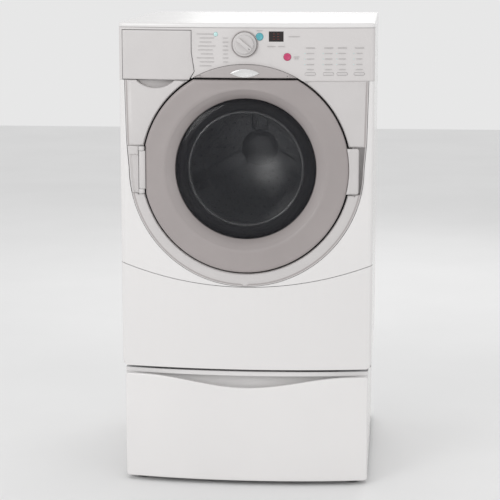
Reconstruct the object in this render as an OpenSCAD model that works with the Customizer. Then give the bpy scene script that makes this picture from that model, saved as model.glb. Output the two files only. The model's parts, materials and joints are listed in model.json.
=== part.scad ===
// Front load washing machine on a storage pedestal with a drawer.
// Millimetres, +Z up, front towards -Y. Origin: on the floor, at the middle of the object's box.

/* [Cabinet] */
// Width of the washer cabinet
body_w = 686; // [670:1:700]
// Height of the washer above its pedestal
washer_h = 940; // [930:1:960]
// Distance from the origin back to the rear panel
back_y = 385; // [380:1:395]
// How far the middle of the front bows out past its two ends
bow_rise = 32; // [26:1:36]
// Outer radius of the upright front corners
corner_r = 12; // [8:1:14]
// Thickness of the steel sheet, drawn heavier than the real gauge
sheet_t = 2; // [1.5:0.5:2.5]

/* [Pedestal] */
// Height of the pedestal, floor to the washer's base
pedestal_h = 330; // [320:1:340]
// Width of the pedestal
pedestal_w = 670; // [660:1:676]
// How far the drawer opens
drawer_travel = 450; // [300:10:480]
// Depth of the finger scoop in the drawer's top edge
scoop_drop = 30; // [20:1:38]

/* [Door] */
// Height of the door's centre above the washer's base
door_rise = 549; // [540:1:552]
// Outer radius of the door
door_r = 278; // [274:1:278]
// Height of the flat along the door's top, above its centre
door_flat = 241; // [238:1:244]
// Radius of the visible dark window
window_r = 190; // [180:1:194]
// Width of the gap round the door
door_gap = 5; // [4:0.5:6]
// How far the door stands out past the bowed front
door_proud = 14; // [10:1:14]

/* [Console] */
// Height of the control console
console_h = 140; // [136:1:144]
// Radius of the cycle knob
knob_r = 32; // [28:1:32]
// Radius of the round push buttons
button_r = 10; // [8:0.5:10]
// How far each push button travels
button_travel = 1.5; // [1:0.1:2]
// How far the dispenser drawer opens
dispenser_travel = 190; // [120:10:200]

/* [Drum] */
// Outer radius of the wash drum
drum_r = 262; // [250:1:264]
// Depth of the wash drum, front to back
drum_depth = 405; // [380:5:405]
// Outer radius of the water tub
tub_r = 282; // [278:1:284]
// Number of lifters inside the drum
lifters = 3; // [3:1:3]

/* [Hidden] */
$fn = 96;

// Small overlap that lets one cut run clear of a face
eps = 1;
// Clearance between neighbouring outer panels
seam = 1.5;

half_w = body_w / 2;
base_z = pedestal_h;
top_z = base_z + washer_h;
console_top = top_z - 13;
console_z = console_top - console_h;
door_z = base_z + door_rise;

// Bowed front: one large circle in plan
bow_r = (half_w * half_w + bow_rise * bow_rise) / (2 * bow_rise);
front_y = -372;
bow_y = front_y + bow_r;
corner_y = bow_y - sqrt(pow(bow_r - corner_r, 2) - pow(half_w - corner_r, 2));
function bow_at(x, proud = 0) = bow_y - sqrt(pow(bow_r + proud, 2) - x * x);

// Depths of the layers behind the door
door_back = -345;
bulkhead_y = -318;
inner_frame_back = -322;
mouth_r = 188;
opening_r = door_r + door_gap;

// Facia: the light grey surround of the door
facia_r = 318;
facia_top_x = 328;
ear_x = 324;
ear_z0 = door_z - 68;
ear_z1 = door_z + 61;

// Lower service panel: its top edge is a shallow arc
service_seam_z = base_z + 228.5;
service_rise = 60;
service_r = (half_w * half_w + service_rise * service_rise) / (2 * service_rise);

// Door hinge: upright axis at the left edge of the door
hinge_x = -281;
hinge_y = -361;
barrel_r = 7.5;
hinge_pin_r = 3;
barrel_z0 = ear_z0 + 13;
barrel_z1 = ear_z1 - 13;

// Dispenser drawer at the left of the console
tray_x0 = -333;
tray_x1 = -144;
tray_z0 = console_z + 14;

// Controls on the console: [x, z]
knob_at = [-1, console_top - 43];
power_at = [38.5, console_top - 23];
start_at = [112, console_top - 76];
light_at = [-78, console_top - 17];
option_x = [173, 221, 257, 302];
option_z = console_z + 19;
option_w = 28;
option_h = 8;
display_x = [63, 102];
display_z = [console_top - 36, console_top - 9];

// Drum and drive: depths along Y
drum_y0 = -255;
drum_y1 = drum_y0 + drum_depth;
tub_y0 = -270;
tub_split_y = -60;
tub_y1 = 190;
shaft_r = 15;
bearing_r = 31;
pulley_y = [275, 291];
pulley_r = 150;
motor_pulley_r = 12;
motor_at = [-70, base_z + 170];
// Sump and pump stand at [x, y]; the drain hose runs back at [x, z]
sump_at = [120, -180];
drain_at = [148, base_z + 52];

// Pedestal
ped_half = pedestal_w / 2;
ped_top = pedestal_h - 10;
ped_lip_z = pedestal_h - 24;
ped_bottom = 12;
scoop_half = 290;
foot_x = 290;
foot_y = [-294, 349];

// ---------- helpers ----------

// A box given by its limits along each axis
module slab(x, y, z) {
  translate([x[0], y[0], z[0]]) cube([x[1] - x[0], y[1] - y[0], z[1] - z[0]]);
}

// Extrudes an outline drawn in the X-Z plane from y0 back to y1
module along_y(y0, y1) {
  translate([0, y1, 0]) rotate([90, 0, 0]) linear_extrude(y1 - y0) children();
}

// Turns a [radius, distance forward of the origin] profile about a line along Y through (x, z)
module lathe_y(x = 0, z = door_z) {
  translate([x, 0, z]) rotate([90, 0, 0]) rotate_extrude() children();
}

// A round rod along Y
module rod_y(r, y0, y1, x = 0, z = door_z) {
  translate([x, y1, z]) rotate([90, 0, 0]) cylinder(r = r, h = y1 - y0);
}

// A round tube along Y
module tube_y(r_out, r_in, y0, y1, x = 0, z = door_z) {
  difference() {
    rod_y(r_out, y0, y1, x, z);
    rod_y(r_in, y0 - eps, y1 + eps, x, z);
  }
}

// A round tube along Z
module tube_z(r_out, r_in, x, y, z0, z1) {
  translate([x, y, z0]) difference() {
    cylinder(r = r_out, h = z1 - z0);
    translate([0, 0, -eps]) cylinder(r = r_in, h = z1 - z0 + 2 * eps);
  }
}

// Plan outline of the cabinet, moved inwards by inset, back to back_limit
module plan(inset = 0, back_limit = back_y) {
  half = half_w - inset;
  straight = half_w - corner_r;
  intersection() {
    translate([0, bow_y]) circle(r = bow_r - inset, $fn = 720);
    translate([-straight, -500]) square([2 * straight, 500 + back_limit]);
  }
  for (side = [-1, 1]) translate([side * straight, corner_y]) circle(r = corner_r - inset);
  translate([-half, corner_y]) square([2 * half, back_limit - corner_y]);
}

// Bowed sheet that wraps round the front corners, ending just behind them
module front_skin(z0, z1, thick = sheet_t, proud = 0) {
  translate([0, 0, z0]) linear_extrude(z1 - z0) difference() {
    plan(-proud, corner_y + 8);
    plan(thick, corner_y + 20);
  }
}

// Block whose front follows the bow, standing out past it, with a flat back
module bow_block(proud, y_back, z0, z1) {
  translate([0, 0, z0]) linear_extrude(z1 - z0) intersection() {
    translate([0, bow_y]) circle(r = bow_r + proud, $fn = 720);
    translate([-400, -500]) square([800, 500 + y_back]);
  }
}

// Bowed slab between two distances from the front surface
module bow_slab(proud, depth, z0, z1) {
  translate([0, 0, z0]) linear_extrude(z1 - z0) difference() {
    intersection() {
      translate([0, bow_y]) circle(r = bow_r + proud, $fn = 720);
      translate([-400, -500]) square([800, 400]);
    }
    translate([0, bow_y]) circle(r = bow_r - depth, $fn = 720);
  }
}

// ---------- outlines seen from the front ----------

// Door: a circle with its top cut flat
module door_outline(grow = 0) {
  intersection() {
    translate([0, door_z]) circle(r = door_r + grow, $fn = 240);
    translate([-400, door_z - 400]) square([800, 400 + door_flat + grow]);
  }
}

// Facia: round below, flaring gently up to the console
module facia_outline(grow = 0) {
  translate([0, door_z]) circle(r = facia_r + grow, $fn = 240);
  polygon([
    [-facia_r - grow, door_z], [facia_r + grow, door_z], [ear_x + grow, ear_z1 + 9],
    [facia_top_x + grow, console_z], [-facia_top_x - grow, console_z], [-ear_x - grow, ear_z1 + 9]
  ]);
}

// Everything below the arc between the front panel and the service panel
function service_z(x) = service_seam_z + service_r - sqrt(service_r * service_r - x * x);
module below_seam(grow = 0) {
  edge = half_w + 10;
  steps = 28;
  polygon(concat(
    [[edge, base_z - 60], [-edge, base_z - 60]],
    [for (i = [0:steps]) let (x = edge * (2 * i / steps - 1)) [x, service_z(x) + grow]]
  ));
}

// Dispenser drawer front: its right side leans outwards near the bottom
module tray_outline(grow = 0) {
  polygon([
    [tray_x0 - grow, console_z + 1 - grow], [-150 + grow, console_z + 1 - grow],
    [tray_x1 + 8 + grow, console_z + 24], [tray_x1 + grow, console_z + 75],
    [tray_x1 + grow, console_top - 7 + grow], [tray_x0 - grow, console_top - 7 + grow]
  ]);
}

// Pill shape of an option button
module pill(x, z, w, h) {
  for (side = [-1, 1]) translate([x + side * (w - h) / 2, z]) circle(r = h / 2, $fn = 32);
  translate([x - (w - h) / 2, z - h / 2]) square([w - h, h]);
}

// Circle of the crown piece that completes the door's round top
module crown_circle(grow = 0) {
  translate([0, door_z]) circle(r = door_r + 4 + grow, $fn = 240);
}

// Height of the pedestal drawer's top edge at x
function lip_at(x) = ped_lip_z - (abs(x) < scoop_half ? scoop_drop * (0.5 + 0.5 * cos(180 * x / scoop_half)) : 0);

// ---------- cabinet ----------

// One side panel with flanges turned in along its front and rear edges
module side_panel(side) {
  color("whitesmoke") translate([0, 0, base_z]) linear_extrude(console_top - base_z - 0.5) {
    inner = half_w - sheet_t;
    for (strip = [[corner_y + 9, back_y, inner, half_w], [corner_y + 9, corner_y + 11, inner - 7, inner],
                  [back_y - 5, back_y - 3, inner - 18, inner]])
      translate([side > 0 ? strip[2] : -strip[3], strip[0]])
        square([strip[3] - strip[2], strip[1] - strip[0]]);
  }
}
module side_panel_left() { side_panel(-1); }
module side_panel_right() { side_panel(1); }

// Rear panel with the openings that the services pass through
module rear_panel() {
  color("gainsboro") difference() {
    slab([-half_w + 3, half_w - 3], [back_y - 2.5, back_y - 0.5], [base_z + 2, console_top - 2]);
    rod_y(165, back_y - 5, back_y + 5);
    for (x = [-250, -195]) rod_y(14, back_y - 5, back_y + 5, x, 1190);
    rod_y(16, back_y - 5, back_y + 5, drain_at[0], drain_at[1]);
    rod_y(11, back_y - 5, back_y + 5, 250, 1180);
  }
}

// Round dished cover over the drive at the back, held by screws
module rear_service_cover() {
  color("silver") {
    lathe_y() polygon([[0, -back_y - 8], [150, -back_y - 8], [158, -back_y], [182, -back_y],
                       [182, -back_y - 1.5], [157, -back_y - 1.5], [149.5, -back_y - 9.5], [0, -back_y - 9.5]]);
    for (a = [0:60:300])
      rod_y(4, back_y + 1.4, back_y + 4, 172 * cos(a), door_z + 172 * sin(a));
  }
}

// Flat steel top with a turned-down rim
module top_panel() {
  color("white") difference() {
    translate([0, 0, console_top]) linear_extrude(top_z - console_top) plan(0);
    translate([0, 0, console_top - eps]) linear_extrude(top_z - console_top - sheet_t + eps)
      plan(sheet_t, back_y - sheet_t);
  }
}

// Bar across the cabinet that the tub hangs from
module top_brace() {
  color("silver") difference() {
    slab([-half_w + 2.2, half_w - 2.2], [2, 38], [1222, 1242]);
    slab([-half_w, half_w], [4, 36], [1220, 1240]);
  }
}

// Shallow steel pan at the foot of the washer
module base_pan() {
  color("silver") difference() {
    slab([-338, 338], [-318, 378], [base_z, base_z + 34]);
    slab([-336, 336], [-316, 376], [base_z + 2, base_z + 40]);
  }
}

// Painted front: the visible skin, a return wall and the bulkhead that carries the gasket
module front_panel() {
  color("white") {
    intersection() {
      front_skin(base_z + 220, console_z - 0.5);
      along_y(-420, -300) difference() {
        translate([-half_w, base_z + 200]) square([body_w, console_z - base_z - 200.5]);
        facia_outline(seam / 2);
        below_seam(seam / 2);
      }
    }
    intersection() {
      bow_block(-sheet_t, bulkhead_y, base_z + 246, console_z - 0.5);
      along_y(-420, bulkhead_y) difference() {
        facia_outline(seam / 2 + sheet_t);
        facia_outline(seam / 2);
        translate([-400, console_z - 2]) square([800, 20]);
      }
    }
    difference() {
      slab([-337, 337], [bulkhead_y, bulkhead_y + sheet_t], [base_z + 234, console_z - 8]);
      rod_y(mouth_r, bulkhead_y - eps, bulkhead_y + 5);
      slab([240, 256], [bulkhead_y - eps, bulkhead_y + 5], [door_z - 13, door_z + 13]);
    }
  }
}

// Removable lower panel, its corners eased at the bottom
module lower_service_panel() {
  color("white") {
    intersection() {
      front_skin(base_z - 1, base_z + 300);
      along_y(-420, -300) intersection() {
        polygon([[-half_w, base_z + 300], [-half_w, base_z + 11], [12 - half_w, base_z - 1],
                 [half_w - 12, base_z - 1], [half_w, base_z + 11], [half_w, base_z + 300]]);
        below_seam(-seam / 2);
      }
    }
    intersection() {
      bow_block(-sheet_t, -352, base_z + 1, base_z + 14);
      slab([-310, 310], [-400, -340], [base_z + 1, base_z + 3]);
    }
  }
}

// Light grey surround of the door, with the wall of the door's recess
module facia_trim() {
  color("lightgray") {
    intersection() {
      bow_slab(1.5, 2.5, base_z + 200, console_z - 0.5);
      along_y(-420, -300) difference() {
        facia_outline(-seam / 2);
        door_outline(door_gap);
        translate([-400, ear_z0]) square([800, ear_z1 - ear_z0]);
        dispenser_grip_outline(0);
      }
    }
    intersection() {
      bow_block(-2, bulkhead_y - 1, base_z + 200, console_z - 0.5);
      along_y(-420, bulkhead_y - 1) difference() {
        door_outline(door_gap + 2.5);
        door_outline(door_gap);
        translate([-400, ear_z0 - 6]) square([800, ear_z1 - ear_z0 + 12]);
      }
    }
    intersection() {
      bow_slab(-2, 5, ear_z0 - 8, ear_z1 + 8);
      along_y(-420, -300) intersection() {
        facia_outline(-2);
        translate([-400, ear_z0 - 8]) square([112, ear_z1 - ear_z0 + 16]);
      }
    }
    dispenser_grip();
    handle_pocket();
  }
}

// Lens-shaped finger recess under the dispenser drawer
module dispenser_grip_outline(grow) {
  intersection() {
    translate([-243, console_z - 30]) square([107 + 2 * grow, 60], center = true);
    translate([-243, console_z + 56.5]) circle(r = 77.5 + grow);
    translate([-400, console_z - 40]) square([300, 39.5]);
  }
}

module dispenser_grip() {
  intersection() {
    bow_block(-1, -334, console_z - 40, console_z - 0.5);
    along_y(-400, -334) dispenser_grip_outline(2.5);
    union() {
      along_y(-400, -334) difference() {
        dispenser_grip_outline(2.5);
        dispenser_grip_outline(0);
      }
      slab([-320, -150], [-336, -334], [console_z - 40, console_z]);
    }
  }
}

// Cup beside the door handle that fingers reach into
module handle_pocket() {
  intersection() {
    bow_block(-1, -322, ear_z0 - 5, ear_z1 + 5);
    union() {
      along_y(-400, -322) difference() {
        pocket_outline(0);
        pocket_outline(2.5);
      }
      along_y(-324.5, -322) pocket_outline(0);
    }
  }
}
module pocket_outline(shrink) {
  intersection() {
    translate([286 + shrink, ear_z0 - 3 + shrink]) square([60, ear_z1 - ear_z0 + 6 - 2 * shrink]);
    facia_outline(-seam / 2 - shrink);
  }
}

// ---------- console ----------

// Light grey control panel across the full width
module console_panel() {
  color("lightgray") difference() {
    front_skin(console_z, console_top - 0.5, 3);
    along_y(-420, -300) {
      tray_outline(0.8);
      translate([tray_x0 - 0.8, console_z - 5]) square([190, 12]);
      crown_circle(0.8);
      translate(knob_at) circle(r = 5);
      for (spot = [power_at, start_at]) translate(spot) circle(r = button_r + 0.4);
      translate(light_at) circle(r = 6);
      for (x = option_x) pill(x, option_z, option_w + 0.8, option_h + 0.8);
      translate([display_x[0], display_z[0]])
        square([display_x[1] - display_x[0], display_z[1] - display_z[0]]);
    }
  }
}

// Segment that completes the door's circle above its flat top
module crown_trim() {
  color("darkgray") intersection() {
    bow_slab(9, 4, door_z + 200, door_z + 300);
    along_y(-420, -300) difference() {
      crown_circle(0);
      translate([-400, door_z - 300]) square([800, 300 + door_flat + door_gap]);
    }
  }
}

// Plain bright plate on the crown
module crown_plate() {
  color("silver") intersection() {
    bow_slab(12, -9, door_z + 240, door_z + 280);
    along_y(-420, -300) intersection() {
      translate([0, door_z + 200]) circle(r = 71);
      translate([0, door_z + 318]) circle(r = 71);
    }
  }
}

// Dark display window
module display_window() {
  color("#1a1414") intersection() {
    bow_slab(-0.5, 6, console_z, console_top);
    along_y(-420, -300) translate([display_x[0] + 0.3, display_z[0] + 0.3])
      square([display_x[1] - display_x[0] - 0.6, display_z[1] - display_z[0] - 0.6]);
  }
}

// Small round indicator lens
module status_light() {
  color("lightcyan") rod_y(5.8, front_y - 0.4, front_y + 8, light_at[0], light_at[1]);
}

// Circuit board in its plastic carrier behind the console
module control_board() {
  color("seagreen") {
    slab([-130, 320], [-330, -328], [console_z + 6, console_top - 8]);
    slab([-132, 322], [-328, -326], [console_z + 4, console_top - 6]);
    rod_y(9, -342, -330, knob_at[0], knob_at[1]);
    for (spot = [[-60, 1185], [60, 1150], [200, 1220], [280, 1210]])
      slab([spot[0] - 14, spot[0] + 14], [-338, -330], [spot[1] - 9, spot[1] + 9]);
  }
}

// ---------- dispenser ----------

// Fixed box that the dispenser drawer slides into
module dispenser_housing() {
  color("whitesmoke") difference() {
    slab([tray_x0 + 4, tray_x1 - 3], [-334, -60], [tray_z0, console_top - 8]);
    slab([tray_x0 + 6, tray_x1 - 5], [-350, -62], [tray_z0 + 2, console_top - 10]);
  }
}

// Drawer with three detergent compartments behind its curved front
module dispenser_drawer() {
  x0 = tray_x0 + 8;
  x1 = tray_x1 - 7;
  color("lightgray") {
    intersection() {
      bow_slab(1, 3, console_z - 5, console_top);
      along_y(-420, -300) tray_outline(-0.7);
    }
    intersection() {
      bow_block(-2.5, -80, tray_z0 + 4, console_z + 72);
      difference() {
        slab([x0, x1], [-380, -80], [tray_z0 + 4, console_z + 72]);
        for (bay = tray_bays()) slab(bay[0], bay[1], [tray_z0 + 6, console_z + 80]);
      }
    }
  }
}

// Limits of the drawer's compartments: [x limits, y limits]
function tray_bays() = let(x0 = tray_x0 + 10, x1 = tray_x1 - 9, xm = x0 + 95) [
  [[x0, xm], [-335, -82]], [[xm + 2, x1], [-335, -210]], [[xm + 2, x1], [-208, -82]]
];

// Water inlet: two threaded stubs out of the back, with their valve bodies inside
module inlet_valves() {
  color("royalblue") for (x = [-250, -195]) {
    rod_y(13, back_y - 20, back_y + 15, x, 1190);
    slab([x - 18, x + 18], [back_y - 52, back_y - 20], [1172, 1208]);
    rod_y(15, back_y - 0.4, back_y + 2, x, 1190);
  }
}

// Hose from the valves to the dispenser
module fill_hose() {
  color("dimgray") tube_y(9, 6.5, -60, back_y - 52, -203, 1198);
}

// ---------- tub, drum and drive ----------

// Front half of the tub, with the neck that the gasket fits and the sump outlet
module tub_front() {
  color("whitesmoke") {
    difference() {
      union() {
        rod_y(tub_r, tub_y0, tub_split_y);
        rod_y(180, tub_y0 - 15, tub_y0);
        rod_y(tub_r + 10, tub_split_y - 8, tub_split_y);
        translate([sump_at[0], sump_at[1], base_z + 275]) cylinder(r = 20, h = 60);
      }
      rod_y(tub_r - 4, tub_y0 + 4, tub_split_y + eps);
      rod_y(176, tub_y0 - 20, tub_y0 + 10);
      translate([sump_at[0], sump_at[1], base_z + 270]) cylinder(r = 17, h = 80);
    }
  }
}

// Rear half of the tub, with the bearing hub and lugs for the springs
module tub_rear() {
  color("whitesmoke") difference() {
    union() {
      rod_y(tub_r, tub_split_y, tub_y1);
      rod_y(tub_r + 10, tub_split_y, tub_split_y + 8);
      rod_y(48, tub_y1, tub_y1 + 70);
      for (a = [0:30:330]) translate([0, 0, door_z]) rotate([0, a, 0])
        slab([46, 200], [tub_y1, tub_y1 + 14], [-2, 2]);
      for (side = [-1, 1]) slab([side * 245 - 12, side * 245 + 12], [12, 28], [1020, 1062]);
    }
    rod_y(tub_r - 4, tub_split_y - eps, tub_y1 - 5);
    rod_y(bearing_r, tub_y1 + 5, tub_y1 + 75);
    rod_y(shaft_r + 3, tub_y1 - 10, tub_y1 + 10);
  }
}

// Folded rubber gasket between the front panel and the tub
module door_gasket() {
  color("gray") lathe_y() polygon([
    [183, 320], [193, 320], [193, 318.1], [187.5, 318.1], [187.5, 315.8], [193, 315.8], [193, 313],
    [185, 313], [166, 302], [164, 298], [167, 295], [184, 291], [184, 274], [180.2, 274],
    [180.2, 288], [164, 291.5], [158, 297], [160, 305], [183, 317]
  ]);
}

// Cast half rings bolted to the front of the tub
module front_counterweight() {
  color("darkgray") for (turn = [20, 200])
    translate([0, 0, door_z]) rotate([90, 0, 0]) rotate([0, 0, turn]) rotate_extrude(angle = 140)
      translate([200, 271]) square([72, 24]);
}

// Cast block strapped to the top of the tub
module top_counterweight() {
  color("darkgray") translate([0, 0, door_z]) rotate([90, 0, 0]) rotate([0, 0, 62])
    rotate_extrude(angle = 56) translate([tub_r + 0.3, -60]) square([38, 100]);
}

// Two close-wound springs that carry the tub
module tub_springs() {
  color("dimgray") for (side = [-1, 1]) {
    translate([side * 245, 20, 1085]) rotate_extrude()
      for (turn = [0:17]) translate([9, 3 + 6 * turn]) circle(r = 3.2, $fn = 16);
    for (z = [[1062, 1090], [1188, 1222]])
      translate([side * 245, 20, z[0]]) cylinder(r = 6.2, h = z[1] - z[0]);
  }
}

// Friction struts between the tub's underside and the base
module shock_absorbers() {
  color("dimgray") for (side = [-1, 1]) for (y = [-120, 110])
    translate([side * 255, y, base_z + 8]) rotate([0, side * -16, 0]) {
      cylinder(r = 16, h = 190);
      cylinder(r = 6, h = 318);
      translate([0, 0, -4]) cylinder(r = 9, h = 6);
    }
}

// Ball bearings pressed into the tub's hub
module shaft_bearings() {
  color("silver") for (y = [tub_y1 + 10, tub_y1 + 50])
    tube_y(bearing_r, shaft_r + 0.05, y, y + 16);
}

// Motor body under the tub
module motor() {
  color("dimgray") {
    rod_y(72, 110, 258, motor_at[0], motor_at[1]);
    tube_y(30, 9.05, 258, 270, motor_at[0], motor_at[1]);
    for (side = [-1, 1]) slab([motor_at[0] + side * 60 - 10, motor_at[0] + side * 60 + 10],
      [130, 230], [motor_at[1] + 36, motor_at[1] + 94]);
  }
}

// Small ribbed pulley on the motor's shaft
module motor_pulley() {
  color("silver") {
    rod_y(motor_pulley_r, pulley_y[0] - 2, pulley_y[1] + 2, motor_at[0], motor_at[1]);
    rod_y(9, 262, pulley_y[0], motor_at[0], motor_at[1]);
  }
}

// Flat belt between the two pulleys
module drive_belt() {
  color("black") along_y(pulley_y[0] + 1, pulley_y[1] - 1) difference() {
    belt_loop(3.3);
    belt_loop(0.3);
  }
}
module belt_loop(grow) {
  hull() {
    translate([0, door_z]) circle(r = pulley_r + grow, $fn = 120);
    translate(motor_at) circle(r = motor_pulley_r + grow, $fn = 48);
  }
}

// Drain pump below the tub's sump, with its lint trap facing the front
module drain_pump() {
  color("gray") {
    slab([70, 170], [-230, -130], [base_z + 2.2, base_z + 14]);
    translate([sump_at[0], sump_at[1], base_z + 14]) cylinder(r = 48, h = 66);
    translate([sump_at[0], sump_at[1], base_z + 80]) cylinder(r = 19.9, h = 24);
    rod_y(26, -280, -225, sump_at[0], base_z + 46);
    rod_y(14, -150, -110, drain_at[0], drain_at[1]);
  }
}

// Rubber bellows from the sump down to the pump
module sump_hose() {
  color("black") {
    tube_z(24, 20.1, sump_at[0], sump_at[1], base_z + 86, base_z + 280);
    for (ring = [0:11])
      tube_z(27, 22, sump_at[0], sump_at[1], base_z + 112 + 12 * ring, base_z + 117 + 12 * ring);
  }
}

// Hose from the pump to the barbed outlet moulded on its end, out of the cabinet's back
module drain_hose() {
  color("dimgray") difference() {
    union() {
      rod_y(18, -126, back_y - 20, drain_at[0], drain_at[1]);
      rod_y(14, back_y - 21, back_y + 15, drain_at[0], drain_at[1]);
      for (barb = [0:2])
        rod_y(15.5, back_y + 2 + 4 * barb, back_y + 4 + 4 * barb, drain_at[0], drain_at[1]);
    }
    rod_y(14.1, -127, back_y - 60, drain_at[0], drain_at[1]);
    rod_y(11, back_y - 61, back_y + 20, drain_at[0], drain_at[1]);
  }
}

// Bush where the power cord would enter
module power_cord_gland() {
  color("black") {
    tube_y(10.8, 5, back_y - 10, back_y + 4, 250, 1180);
    tube_y(15, 5, back_y, back_y + 4, 250, 1180);
  }
}

// ---------- door lock and hinge ----------

// Lock behind the bulkhead, open at the front for the strike
module door_lock() {
  color("dimgray") difference() {
    slab([230, 268], [-315.8, -297], [door_z - 38, door_z + 38]);
    slab([238, 258], [-320, -300], [door_z - 15, door_z + 15]);
  }
}

// Fixed half of the hinge: two lugs, a plate on the bulkhead, and the pin
module hinge_bracket() {
  color("silver") {
    slab([-300, -276], [bulkhead_y - 4, bulkhead_y - 0.2], [ear_z0, ear_z1]);
    for (z = [[ear_z0 + 1, barrel_z0 - 0.5], [barrel_z1 + 0.5, ear_z1 - 1]]) {
      slab([-287, -279], [hinge_y, bulkhead_y - 3], z);
      translate([hinge_x, hinge_y, z[0]]) cylinder(r = barrel_r, h = z[1] - z[0]);
    }
    translate([hinge_x, hinge_y, ear_z0 + 4]) cylinder(r = hinge_pin_r, h = ear_z1 - ear_z0 - 8);
  }
}

// Cover over the hinge, set back beside the barrel, with a raised left border and top strip
module hinge_cover() {
  color("lightgray") intersection() {
    along_y(-420, -300) intersection() {
      facia_outline(-seam / 2);
      translate([-400, ear_z0 + 0.75]) square([109.5, ear_z1 - ear_z0 - 1.5]);
    }
    union() {
      bow_slab(3, 1.5, ear_z0, ear_z1);
      intersection() {
        bow_slab(8, 1, ear_z0, ear_z1);
        slab([-400, -311], [-400, -300], [ear_z0, ear_z1]);
      }
      bow_slab(6, 1, ear_z1 - 25, ear_z1);
    }
  }
}

// Moving half of the hinge: barrel, web and the leaf that screws to the door
module hinge_arm() {
  color("silver") difference() {
    union() {
      translate([hinge_x, hinge_y, barrel_z0]) cylinder(r = barrel_r, h = barrel_z1 - barrel_z0);
      slab([hinge_x, -270.5], [-365, -341], [barrel_z0, barrel_z1]);
      slab([-271, -225], [door_back + 0.2, -341], [door_z - 36, door_z + 39]);
    }
    translate([hinge_x, hinge_y, barrel_z0 - 5])
      cylinder(r = hinge_pin_r + 0.06, h = barrel_z1 - barrel_z0 + 10);
  }
}

// ---------- door ----------

// Moulded outer ring of the door, its inner edge sloping in to the window
module door_frame() {
  color("rosybrown") difference() {
    intersection() {
      bow_block(door_proud, door_back, door_z - 300, door_z + 300);
      along_y(-420, door_back) difference() {
        door_outline();
        translate([0, door_z]) circle(r = window_r, $fn = 180);
      }
    }
    lathe_y() polygon([[0, 362], [window_r, 362], [window_r + 29, 390], [window_r + 29, 420], [0, 420]]);
    lathe_y() polygon([[0, 340], [window_r + 6, 340], [window_r + 6, 355], [0, 355]]);
    slab([-300, -270], [-420, -300], [ear_z0, ear_z1]);
  }
}

// Dark outer window
module door_window() {
  color("#2a2a2e") rod_y(window_r + 5.5, -354.8, -349.5);
}

// Clear bowl that pushes the laundry back into the drum
module door_bowl() {
  color("lightslategray") lathe_y() polygon([
    [160, 349.2], [160, 344], [151.5, 344], [146, 318], [136, 282], [126, 256], [112, 243], [90, 237],
    [0, 233], [0, 237.5], [88, 241.5], [109, 247.5], [122, 259], [131.5, 284], [141.5, 319], [147, 349.2]
  ]);
}

// Inner ring of the door that holds the bowl, flat along its top like the door
module door_inner_frame() {
  color("whitesmoke") difference() {
    along_y(-344.8, inner_frame_back) difference() {
      inner_frame_outline(0);
      translate([0, door_z]) circle(r = 152.5);
    }
    along_y(-350, inner_frame_back - 4) difference() {
      inner_frame_outline(4);
      translate([0, door_z]) circle(r = 168);
    }
    rod_y(160.3, -350, -343.8);
    slab([-270, -224], [-346, -340], [door_z - 37, door_z + 40]);
  }
}
module inner_frame_outline(shrink) {
  intersection() {
    translate([0, door_z]) circle(r = 262 - shrink, $fn = 180);
    translate([-300, door_z - 300]) square([600, 300 + door_flat - 7 - shrink]);
  }
}

// Fixed pull at the door's right edge
module door_handle() {
  color("lightgray") intersection() {
    bow_slab(door_proud, -3, ear_z0, ear_z1);
    along_y(-420, -300) difference() {
      translate([250, ear_z0 + 3]) square([54, ear_z1 - ear_z0 - 6]);
      translate([0, door_z]) circle(r = door_r, $fn = 240);
    }
  }
}

// Hook that the lock catches
module door_strike() {
  color("silver") difference() {
    slab([244, 252], [inner_frame_back, -303], [door_z - 9, door_z + 9]);
    slab([240, 260], [-314, -307], [door_z - 5, door_z + 5]);
  }
}

// ---------- drum and drive ----------

// Stainless drum: wall, front lip, back and lifters
module drum() {
  color("silver") {
    difference() {
      rod_y(drum_r, drum_y0, drum_y1);
      rod_y(drum_r - 2, drum_y0 + 2, drum_y1 - 2);
      rod_y(170, drum_y0 - 5, drum_y0 + 5);
    }
    for (lifter = [0:lifters - 1])
      translate([0, drum_y1 - 20, door_z]) rotate([90, 270 + lifter * 360 / lifters, 0])
        linear_extrude(drum_depth - 50)
          polygon([[drum_r - 52, -9], [drum_r - 52, 9], [drum_r - 1, 24], [drum_r - 1, -24]]);
  }
}

// Three-armed spider and the shaft that turns in the bearings
module drum_spider() {
  color("gray") {
    for (arm = [0:2]) translate([0, 0, door_z]) rotate([0, 30 + 120 * arm, 0])
      slab([20, drum_r - 8], [drum_y1 + 0.3, drum_y1 + 18], [-16, 16]);
    rod_y(46, drum_y1 + 0.3, drum_y1 + 26);
    rod_y(shaft_r, drum_y1 + 20, pulley_y[1] + 9);
  }
}

// Spoked pulley on the drum's shaft
module drum_pulley() {
  color("lightgray") difference() {
    rod_y(pulley_r, pulley_y[0], pulley_y[1]);
    difference() {
      rod_y(pulley_r - 10, pulley_y[0] - 5, pulley_y[1] + 5);
      rod_y(32, pulley_y[0] - 5, pulley_y[1] + 5);
      for (spoke = [0:5]) translate([0, 0, door_z]) rotate([0, 60 * spoke, 0])
        slab([20, pulley_r], [pulley_y[0] + 3, pulley_y[1] - 3], [-8, 8]);
    }
    rod_y(shaft_r, pulley_y[0] - 5, pulley_y[1] + 5);
  }
}

// ---------- controls ----------

// Cycle knob with a raised pointer bar, a finger ring and a shaft
module cycle_knob() {
  color("lightgray") {
    rod_y(knob_r, -382, -374.5, knob_at[0], knob_at[1]);
    rod_y(knob_r - 6, -391, -381, knob_at[0], knob_at[1]);
    rod_y(4.9, -376, -342.3, knob_at[0], knob_at[1]);
    translate([knob_at[0], 0, knob_at[1]]) rotate([0, 40, 0])
      slab([-knob_r + 7, knob_r - 7], [-400, -389], [-5, 5]);
  }
}

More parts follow.
